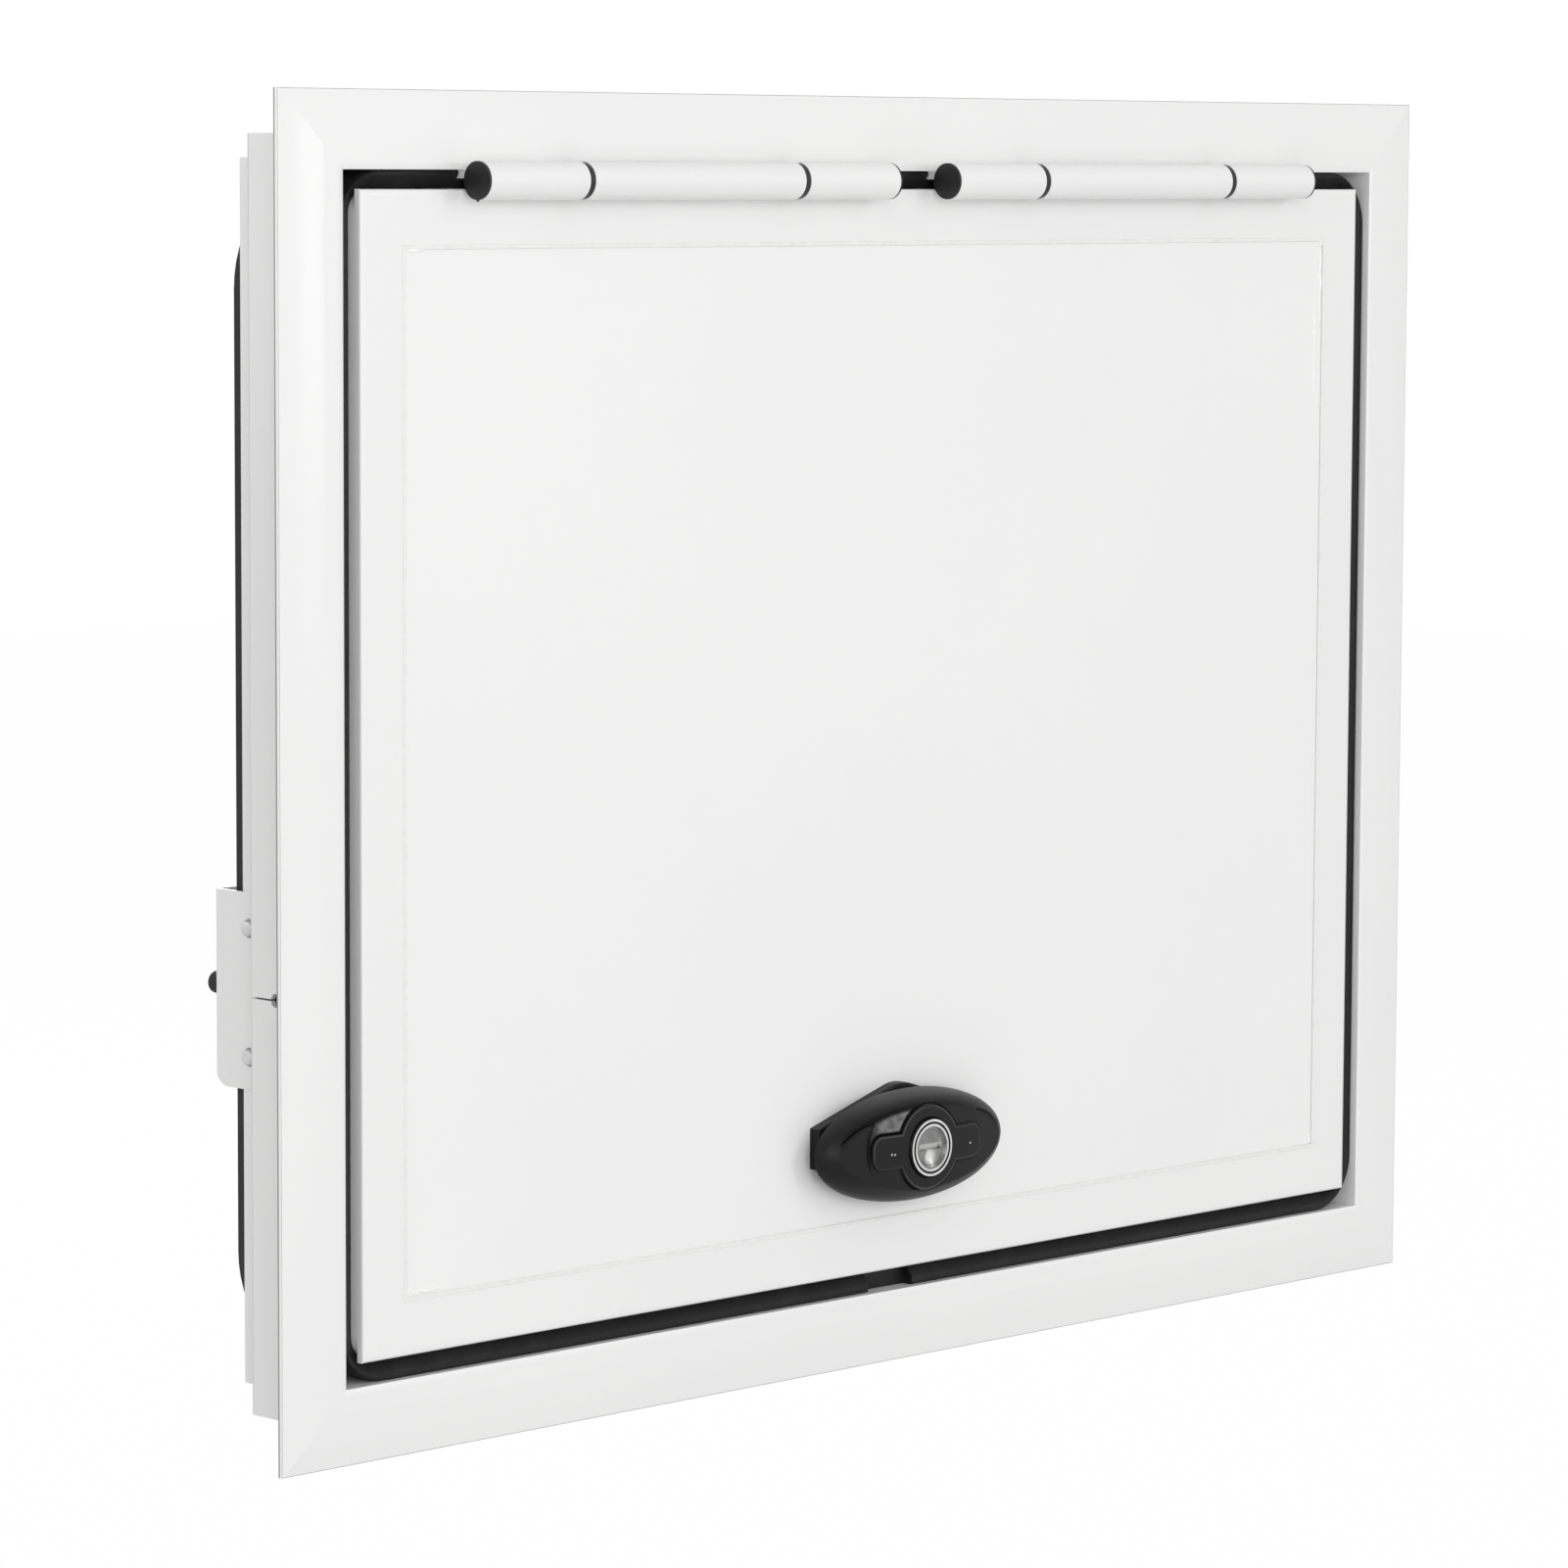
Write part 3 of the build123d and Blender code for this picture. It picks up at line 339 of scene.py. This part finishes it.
def makeSealRubber():
    finish = Finish("sealRubber", seal["colour"], seal["roughness"], Specular_IOR_Level=seal["specular"])
    dust = finish.noise(*seal["dust"]).above(*seal["dustMask"]) * seal["dustStrength"]
    finish.surface("Base Color", finish.mix(dust, seal["colour"], seal["dustColour"]))
    finish.gloss(finish.noise(*seal["patches"]), seal["patchGloss"])
    finish.relief(finish.noise(*seal["grain"]), *seal["grainRelief"])
    return finish.material


# Black foam rubber with fine pores.
gasket = {
    "colour": (0.017, 0.017, 0.018), "poreColour": (0.006, 0.006, 0.006), "roughness": 0.78,
    "pores": 1100, "poreMask": (0.22, 0.1), "poreRelief": (0.00012, 0.7),
    "patches": (60, 2), "patchGloss": 0.1,
}


def makeGasketRubber():
    finish = Finish("gasketRubber", gasket["colour"], gasket["roughness"])
    pores = finish.cells(gasket["pores"])
    walls = pores.above(*gasket["poreMask"])
    finish.surface("Base Color", finish.mix(walls, gasket["poreColour"], gasket["colour"]))
    finish.gloss(finish.noise(*gasket["patches"]), gasket["patchGloss"])
    finish.relief(pores, *gasket["poreRelief"])
    return finish.material


# Black moulded plastic, satin, with paler scuffs and a fine spark-eroded grain.
moulding = {
    "scuffs": (70, 5), "scuffMask": (0.64, 0.12), "scuffStrength": 0.3, "scuffPaler": 1.9,
    "patches": (38, 3), "patchGloss": (0.12, -0.04), "grain": (1500, 2), "grainStrength": 0.7,
}
capLook = {"colour": (0.014, 0.014, 0.0147), "roughness": 0.42, "specular": 0.35, "grainDepth": 0.00002}
plateLook = {"colour": (0.007, 0.007, 0.0073), "roughness": 0.36, "specular": 0.18, "grainDepth": 0.00002}


def scuffedColour(finish, colour):
    scuffs = finish.noise(*moulding["scuffs"]).above(*moulding["scuffMask"])
    paler = tuple(part * moulding["scuffPaler"] for part in colour)
    return finish.mix(scuffs * moulding["scuffStrength"], colour, paler)


def mouldedGrain(finish, depth, base=None):
    finish.gloss(finish.noise(*moulding["patches"]), *moulding["patchGloss"])
    finish.relief(finish.noise(*moulding["grain"]), depth, moulding["grainStrength"], base)


def makePlastic(name, look):
    finish = Finish(name, look["colour"], look["roughness"], Specular_IOR_Level=look["specular"])
    finish.surface("Base Color", scuffedColour(finish, look["colour"]))
    mouldedGrain(finish, look["grainDepth"])
    return finish.material


# The lock's axis is at this height in metres.
lockHeight = -0.1615

# The turn knob, in millimetres from the lock's axis, with light and shade painted into its colour: dark lines
# of painted shade round the boss, the two leaves and the ring, and a dark band of painted shade along the
# valley between rim and face; painted highlights on the upper rim, on the upper face (speckled with grain),
# in a thin glint inside the boss's line, and in light dots on the lobes standing for small marks. An arc is
# its centre and radius, a line is its level, half width and softness, and a limit is its level and its
# softness.
knob = {
    "colour": (0.0105, 0.0105, 0.011), "shadeLine": (0.0008, 0.0008, 0.0008), "rimHighlight": (0.05, 0.05, 0.051),
    "upperHighlight": (0.22, 0.22, 0.223), "glint": (0.075, 0.075, 0.076), "dotHighlight": (0.55, 0.55, 0.55),
    "roughness": 0.36, "specular": 0.14, "grainDepth": 0.00006, "carvedDepth": 0.00035,
    "boss": {
        "radius": 16.8, "lobeLength": 30.6, "lobeHeight": 6.8, "lobeCorner": 5.0,
        "shadeLine": (0.5, 0.35, 0.25), "glint": (-0.5, 0.2, 0.3), "ringGap": (11.8, 0.45, 0.2),
        "faintLeft": (-14.0, 2.0), "faintUnder": (-2.0, 2.0), "faintLeftStrength": 0.75,
        "faintRight": (15.0, 2.0), "faintRightStrength": 0.5,
        "dots": ((-21.1, -0.7), (-19.4, -0.9), (24.0, -0.9)), "dotEdge": (0.42, 0.15),
    },
    "leaf": {
        "upperArc": (26.3, -14.8, 27.0), "upperLine": (0.0, 0.28, 0.2),
        "upperFrom": (29.0, 0.6), "upperTo": (44.5, 1.5), "upperOver": (0.0, 2.0),
        "waistArc": (10.8, 0.5, 21.4), "waistLine": (0.0, 0.2, 0.2), "waistStrength": 0.7,
        "waistFrom": (27.0, 0.5), "waistOver": (-6.0, 5.0), "waistUnder": (12.0, 0.4),
        "carvedShare": 0.6,
    },
    "face": {
        "half": (45.6, 17.1), "high": (5.0, 5.0),
        "valleyShade": (1.0, 0.04, 0.06), "valleyStrength": 0.9, "valleyDark": 0.75,
        "rimFrom": (1.16, 0.08), "rimRight": (-28.0, 14.0), "rimLeast": 0.45, "rimMore": 0.55,
        "upperHighlightInside": (0.92, 0.05), "upperHighlightFromBoss": (1.4, 0.5), "upperHighlightOver": (3.0, 2.0),
        "upperHighlightTo": (-4.0, 6.0), "upperHighlightFrom": (-27.5, 4.5),
        "specks": (430, 5), "speckMask": (0.5, 0.22), "speckLeast": 0.4, "speckMore": 0.6,
    },
}


def fromPoint(across, up, x, z):
    return ((across - x) ** 2 + (up - z) * (up - z)) ** 0.5


# How far outside the boss and its two lobes a place is, below zero inside them.
def fromBoss(across, up, shape):
    corner = shape["lobeCorner"]
    beside = across - (shape["lobeLength"] - corner)
    over = up.absolute() - (shape["lobeHeight"] - corner)
    outside = (beside.larger(0.0) ** 2 + over.larger(0.0) ** 2) ** 0.5
    lobe = outside + beside.larger(over).smaller(0.0) - corner
    return (fromPoint(across, up, 0.0, 0.0) - shape["radius"]).smaller(lobe)


# The boss's line of painted shade is fainter at its lower left and on its right.
def bossClearness(side, up, shape):
    left = shape["faintLeftStrength"] * side.below(*shape["faintLeft"]) * up.below(*shape["faintUnder"])
    return 1.0 - left.larger(shape["faintRightStrength"] * side.above(*shape["faintRight"]))


def leafOutline(across, up, shape):
    upperX, upperZ, upperRadius = shape["upperArc"]
    upper = (fromPoint(across, up, upperX, upperZ) - upperRadius).near(*shape["upperLine"])
    upper = upper * across.above(*shape["upperFrom"]) * across.below(*shape["upperTo"])
    upper = upper * up.above(*shape["upperOver"])
    waistX, waistZ, waistRadius = shape["waistArc"]
    waist = (fromPoint(across, up, waistX, waistZ) - waistRadius).near(*shape["waistLine"])
    waist = waist * across.above(*shape["waistFrom"])
    waist = waist * up.above(*shape["waistOver"]) * up.below(*shape["waistUnder"])
    return upper.larger(shape["waistStrength"] * waist)


def lobeDots(side, up, shape):
    dots, *others = (fromPoint(side, up, x, z).below(*shape["dotEdge"]) for x, z in shape["dots"])
    for dotHighlight in others:
        dots = dots.larger(dotHighlight)
    return dots


def makeKnob():
    finish = Finish("knobPlastic", knob["colour"], knob["roughness"], Specular_IOR_Level=knob["specular"])
    side = finish.millimetres("X")
    across = side.absolute()
    up = finish.millimetres("Z", lockHeight)

    shape = knob["boss"]
    boss = fromBoss(across, up, shape)
    clear = bossClearness(side, up, shape)
    # Painted shade in a dark line round the boss and in the gap to the ring; both are also carved as shallow
    # grooves.
    bossLine = boss.near(*shape["shadeLine"]) * clear
    # A thin painted highlight, the glint, just inside the boss's line.
    glint = boss.near(*shape["glint"]) * clear
    ringGap = fromPoint(across, up, 0.0, 0.0).near(*shape["ringGap"])
    # Light dots on the lobes: painted highlights of small marks.
    dots = lobeDots(side, up, shape)
    # Painted shade along the leaves' edges, also carved a little.
    leafLine = leafOutline(across, up, knob["leaf"])

    face = knob["face"]
    halfLength, halfHeight = face["half"]
    reach = ((across / halfLength) ** 2 + (up.absolute() / halfHeight) ** 2) ** 0.5
    high = up.above(*face["high"])
    # Painted shade in a dark band along the valley on the upper half.
    valleyShade = face["valleyStrength"] * reach.near(*face["valleyShade"]) * high
    # Painted highlights: the upper rim, stronger away from its left end, and the upper left face, speckled
    # with grain.
    rimShare = face["rimLeast"] + face["rimMore"] * side.above(*face["rimRight"])
    rimHighlight = reach.above(*face["rimFrom"]) * high * rimShare
    upperFace = reach.below(*face["upperHighlightInside"]) * boss.above(*face["upperHighlightFromBoss"])
    upperFace = upperFace * up.above(*face["upperHighlightOver"]) * side.below(*face["upperHighlightTo"])
    specks = finish.noise(*face["specks"]).above(*face["speckMask"])
    upperHighlight = upperFace * side.above(*face["upperHighlightFrom"]) * (face["speckLeast"] + face["speckMore"] * specks)

    colour = scuffedColour(finish, knob["colour"])
    layers = ((rimHighlight, "rimHighlight"), (upperHighlight, "upperHighlight"), (glint, "glint"), (valleyShade, "shadeLine"), (leafLine, "shadeLine"),
              (bossLine, "shadeLine"), (ringGap, "shadeLine"), (dots, "dotHighlight"))
    for mask, layer in layers:
        colour = finish.mix(mask, colour, knob[layer])
    finish.surface("Base Color", colour)
    # The lines of painted shade are also made a near-black metal, so that they show no white reflection.
    dark = (face["valleyDark"] * valleyShade).larger(leafLine).larger(bossLine).larger(ringGap)
    finish.surface("Metallic", dark)  # a near-black metal shows no white sheen
    carving = bossLine.larger(ringGap).larger(knob["leaf"]["carvedShare"] * leafLine)
    mouldedGrain(finish, knob["grainDepth"], finish.relief(-1.0 * carving, knob["carvedDepth"]))
    return finish.material


# Plated metal of the ring and the key cylinder, turned on a lathe, in metres from the lock's axis.
plating = {
    "wear": (220, 3), "wearMask": (0.55, 0.2), "wearGloss": 0.1, "grooveShade": (0.04, 0.04, 0.04),
    "groove": (0.0094, 0.0104), "grooveSoftness": 0.0002, "lathe": 14000, "latheRelief": (0.000012, 0.35),
}
ringLook = {"colour": (0.74, 0.74, 0.74), "shade": (0.56, 0.56, 0.56), "roughness": 0.2}

# The plug's face has painted highlights, on the shutter bar across it and in a bright spot below, and a dark
# line of painted shade round it, in millimetres.
plugLook = {
    "colour": (0.27, 0.27, 0.268), "shade": (0.2, 0.2, 0.198), "roughness": 0.26,
    "face": {
        "paintedHighlight": (0.72, 0.715, 0.7), "bar": (0.7, 0.9, 0.2), "barHalf": (6.2, 0.4), "barStrength": 0.4,
        "spotDrop": 3.4, "spot": (2.6, 1.6), "spotUnder": (-0.6, 0.4),
        "rimLine": (7.2, 0.15, 0.2), "rimStrength": 0.6,
    },
}


def plugLightAndShade(finish, colour, across, up, radius, face):
    side = across * 1000.0
    height = up * 1000.0
    bar = height.near(*face["bar"]) * side.absolute().below(*face["barHalf"])
    fromSpot = (side * side + (height + face["spotDrop"]) ** 2) ** 0.5
    spot = fromSpot.below(*face["spot"]) * height.below(*face["spotUnder"])
    # Painted highlights on the bar and the spot.
    colour = finish.mix(face["barStrength"] * bar, colour, face["paintedHighlight"])
    colour = finish.mix(spot, colour, face["paintedHighlight"])
    # Painted shade in the line round the plug's face.
    rimLine = face["rimStrength"] * (radius * 1000.0).near(*face["rimLine"])
    return finish.mix(rimLine, colour, plating["grooveShade"])


def makeBright(name, look):
    finish = Finish(name, look["colour"], look["roughness"], 1.0)
    across = finish.axis("X")
    up = finish.axis("Z") - lockHeight
    radius = (across * across + up * up) ** 0.5
    wear = finish.noise(*plating["wear"])
    colour = finish.mix(wear.above(*plating["wearMask"]), look["colour"], look["shade"])
    if "face" in look:
        colour = plugLightAndShade(finish, colour, across, up, radius, look["face"])
    # Painted shade: a dark ring in the groove of the ring.
    inside, outside = (radius.above(level, plating["grooveSoftness"]) for level in plating["groove"])
    finish.surface("Base Color", finish.mix(inside - outside, colour, plating["grooveShade"]))
    finish.gloss(wear, plating["wearGloss"])
    rings = finish.add("ShaderNodeMath", {"operation": "SINE"}, {0: radius * plating["lathe"]})
    finish.relief(rings, *plating["latheRelief"])
    return finish.material


# Zinc plated steel of the screws, pins, sleeve, nut and cam.
zinc = {
    "colour": (0.6, 0.6, 0.61), "shade": (0.48, 0.485, 0.5), "roughness": 0.33,
    "spangle": (140, 4), "spangleMask": (0.5, 0.2), "spangleGloss": 0.14,
    "brushing": (700, 2, (1, 0.2, 1)), "brushRelief": (0.00002, 0.5),
}


def makeSteel():
    finish = Finish("screwSteel", zinc["colour"], zinc["roughness"], 1.0)
    spangle = finish.noise(*zinc["spangle"])
    shaded = spangle.above(*zinc["spangleMask"])
    finish.surface("Base Color", finish.mix(shaded, zinc["colour"], zinc["shade"]))
    finish.gloss(spangle, zinc["spangleGloss"])
    finish.relief(finish.noise(*zinc["brushing"]), *zinc["brushRelief"])
    return finish.material


# Rigid foam of the door's core.
foam = {
    "colour": (0.78, 0.74, 0.6), "shade": (0.62, 0.58, 0.45), "roughness": 0.9,
    "cells": 900, "cellMask": (0.3, 0.15), "cellDepth": 0.0002,
}


def makeFoam():
    finish = Finish("foamCore", foam["colour"], foam["roughness"])
    cells = finish.cells(foam["cells"])
    finish.surface("Base Color", finish.mix(cells.above(*foam["cellMask"]), foam["shade"], foam["colour"]))
    finish.relief(cells, foam["cellDepth"])
    return finish.material


framePaint = makePaint("framePaint", peelDepth=0.000012, waveDepth=0.00006, edge=frameEdgeHighlight, paintedShade=frameShadeLines)
hingePaint = makePaint("hingePaint", peelDepth=0.000008, waveDepth=0.00003)
doorPaint = makePaint("doorPaint", peelDepth=0.00001, waveDepth=0.00005, edge=doorEdgeHighlight)
doorSkin = makeSkin()
sealRubber = makeSealRubber()
gasketRubber = makeGasketRubber()
capPlastic = makePlastic("capPlastic", capLook)
platePlastic = makePlastic("platePlastic", plateLook)
knobPlastic = makeKnob()
beadSealant = makeSealant("beadSealant", beadLook)
smearSealantHighlight = makeSealant("smearSealantHighlight", smearHighlightLook)
screwSteel = makeSteel()
ringMetal = makeBright("ringMetal", ringLook)
plugMetal = makeBright("plugMetal", plugLook)
foamCore = makeFoam()

nodeFinishes = {
    "outer_frame": framePaint,
    "joiner_bracket": framePaint,
    "front_seal": sealRubber,
    "stop_seal": sealRubber,
    "rear_gasket": gasketRubber,
    "bracket_bumper": gasketRubber,
    "joiner_screws": screwSteel,
    "hinge_frame_leaf_left": hingePaint,
    "hinge_frame_leaf_right": hingePaint,
    "hinge_door_leaf_left": hingePaint,
    "hinge_door_leaf_right": hingePaint,
    "hinge_pin_left": screwSteel,
    "hinge_pin_right": screwSteel,
    "hinge_caps": capPlastic,
    "hinge_washers": capPlastic,
    "frame_leaf_screws": screwSteel,
    "door_leaf_screws": screwSteel,
    "door_edge_frame": doorPaint,
    "door_front_panel": doorSkin,
    "door_back_panel": doorSkin,
    "panel_bead": beadSealant,
    "door_core": foamCore,
    "lock_base_plate": platePlastic,
    "lock_housing": screwSteel,
    "lock_nut": screwSteel,
    "turn_knob": knobPlastic,
    "cylinder_ring": ringMetal,
    "key_cylinder": plugMetal,
    "knob_spindle": screwSteel,
    "lock_cam": screwSteel,
    "cam_bolt": screwSteel,
}
for nodeName, finishMaterial in nodeFinishes.items():
    nodes[nodeName].data.materials.clear()
    nodes[nodeName].data.materials.append(finishMaterial)
print("finishes on", len(nodeFinishes), "nodes")


# A finished piece's mesh holds its place; its object stays at the origin.
def addPiece(name, mesh, material, body):
    data = bpy.data.meshes.new(name)
    mesh.to_mesh(data)
    mesh.free()
    for face in data.polygons:
        face.use_smooth = True
    data.materials.append(material)
    piece = bpy.data.objects.new(name, data)
    bpy.context.scene.collection.objects.link(piece)
    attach(piece, body)


# Sealant squeezed out beside the bead: long thin smears and a dab in each corner of the panel, in a lighter
# copy of the sealant whose extra lightness is a painted highlight.
smears = {
    "smearInner": {"place": (0.2560, 0.1735), "size": (0.0018, 0.033), "ripple": 170, "turn": 0},
    "smearOuter": {"place": (0.2525, 0.1490), "size": (0.0015, 0.040), "ripple": 120, "turn": 0},
    "smearTop": {"place": (-0.2515, 0.1922), "size": (0.0020, 0.011), "ripple": 260, "turn": 90},
    "smearBottom": {"place": (-0.2480, -0.1895), "size": (0.0014, 0.014), "ripple": 300, "turn": 87},
    "dabTopRight": {"place": (0.2562, 0.1915), "size": (0.0026, 0.0030), "ripple": 500, "turn": 20},
    "dabBottomRight": {"place": (0.2562, -0.1895), "size": (0.0022, 0.0030), "ripple": 600, "turn": 40},
    "dabBottomLeft": {"place": (-0.2565, -0.1890), "size": (0.0018, 0.0034), "ripple": 600, "turn": 30},
}
smearShape = {
    "across": 10, "along": 40, "front": -0.0038, "height": 0.0007, "sway": 0.0007,
    "variety": 900, "rippleRow": 0.5, "thickness": 0.8, "thickening": 0.6,
}


def makeSmear(name, smear):
    mesh = bmesh.new()
    bmesh.ops.create_uvsphere(mesh, u_segments=smearShape["across"], v_segments=smearShape["along"], radius=1)
    width, length = smear["size"]
    bmesh.ops.scale(mesh, vec=(width / 2, smearShape["height"], length / 2), verts=mesh.verts)
    for vert in mesh.verts:
        along = vert.co.z * smear["ripple"]
        wave = noise.noise(Vector((length * smearShape["variety"], smearShape["rippleRow"], along)))
        vert.co.x += smearShape["sway"] * wave
        vert.co.y *= smearShape["thickness"] + smearShape["thickening"] * wave
    turn = Matrix.Rotation(radians(smear["turn"]), 3, "Y")
    bmesh.ops.rotate(mesh, cent=(0, 0, 0), matrix=turn, verts=mesh.verts)
    across, up = smear["place"]
    bmesh.ops.translate(mesh, vec=(across, smearShape["front"], up), verts=mesh.verts)
    addPiece(name, mesh, smearSealantHighlight, "door")


for smearName, smearSettings in smears.items():
    makeSmear(smearName, smearSettings)


# The moulding's gate mark under the left hinge cap.
capNub = {"place": (-0.2293, -0.0121, 0.2101), "radius": 0.0006, "segments": 12}


def makeNub(nub):
    mesh = bmesh.new()
    segments = nub["segments"]
    bmesh.ops.create_uvsphere(mesh, u_segments=segments, v_segments=segments, radius=nub["radius"])
    bmesh.ops.translate(mesh, vec=nub["place"], verts=mesh.verts)
    addPiece("capNub", mesh, capPlastic, "frame")


makeNub(capNub)
print("added pieces:", len(smears) + 1)


# Backdrop and floor: white to the camera, grey enough for the light that they send back.
studio = {
    "floorHeight": -0.62, "floorSize": 14.0, "floorColour": (0.62, 0.62, 0.62), "floorRoughness": 0.9,
    "floorGrain": (60, 3), "floorRelief": (0.0004, 0.3), "floorWhiteness": 0.985,
    "skyLevel": 0.62, "white": (1, 1, 1),
}


def makeFloor(settings):
    mesh = bmesh.new()
    bmesh.ops.create_grid(mesh, x_segments=1, y_segments=1, size=settings["floorSize"] / 2)
    bmesh.ops.translate(mesh, verts=mesh.verts, vec=(0, 0, settings["floorHeight"]))
    data = bpy.data.meshes.new("studioFloor")
    mesh.to_mesh(data)
    mesh.free()
    floor = bpy.data.objects.new("studioFloor", data)
    bpy.context.scene.collection.objects.link(floor)
    finish = Finish("floorPaper", settings["floorColour"], settings["floorRoughness"])
    finish.relief(finish.noise(*settings["floorGrain"]), *settings["floorRelief"])
    data.materials.append(finish.material)
    whiteForView(finish, settings)


# Camera, glossy and transmission rays see white with the floor's soft shadow on it.
def whiteForView(finish, settings):
    paper = Field(finish, finish.shader.outputs[0])
    white = finish.add("ShaderNodeEmission", {}, {"Color": settings["white"], "Strength": 1.0})
    share = finish.seeingRays() * settings["floorWhiteness"]
    blend = finish.add("ShaderNodeMixShader", {}, {0: share, 1: paper, 2: white})
    finish.feed(finish.tree.nodes["Material Output"].inputs["Surface"], blend)


def makeSky(settings):
    world = bpy.data.worlds.new("studioSky")
    bpy.context.scene.world = world
    world.use_nodes = True
    sky = Shading(world.node_tree)
    backdrop = world.node_tree.nodes["Background"]
    level = sky.add("ShaderNodeMapRange", {},
                    {"Value": sky.seeingRays(), "To Min": settings["skyLevel"], "To Max": 1.0})
    sky.feed(backdrop.inputs["Strength"], level)
    sky.feed(backdrop.inputs["Color"], settings["white"])


lamps = {
    "keyRight": {"place": (1.49, -2.93, 1.05), "aim": (0, 0, 0.1), "size": (0.9, 2.3), "power": 18},
    "frontSoft": {"place": (-1.5, -2.8, 0.45), "aim": (0, 0, 0), "size": (2.2, 1.8), "power": 35},
    "fillLeft": {"place": (-3.2, -0.3, 0.5), "aim": (0, 0, 0), "size": (1.4, 1.6), "power": 6},
    "backLeft": {"place": (-2.4, 2.2, 0.9), "aim": (0, 0, 0), "size": (1.2, 1.8), "power": 8},
    "backRight": {"place": (1.6, 3.0, 1.2), "aim": (0, 0, 0), "size": (2.0, 2.0), "power": 22},
}


def makeLamp(name, lamp):
    data = bpy.data.lights.new(name, "AREA")
    data.shape = "RECTANGLE"
    data.size, data.size_y = lamp["size"]
    data.energy = lamp["power"]
    light = bpy.data.objects.new(name, data)
    facing = Vector(lamp["aim"]) - Vector(lamp["place"])
    light.rotation_euler = facing.to_track_quat("-Z", "Y").to_euler()
    light.location = lamp["place"]
    bpy.context.scene.collection.objects.link(light)


makeFloor(studio)
makeSky(studio)
for lampName, lampSettings in lamps.items():
    makeLamp(lampName, lampSettings)
bpy.context.scene.view_settings.view_transform = "Standard"
print("studio ready")
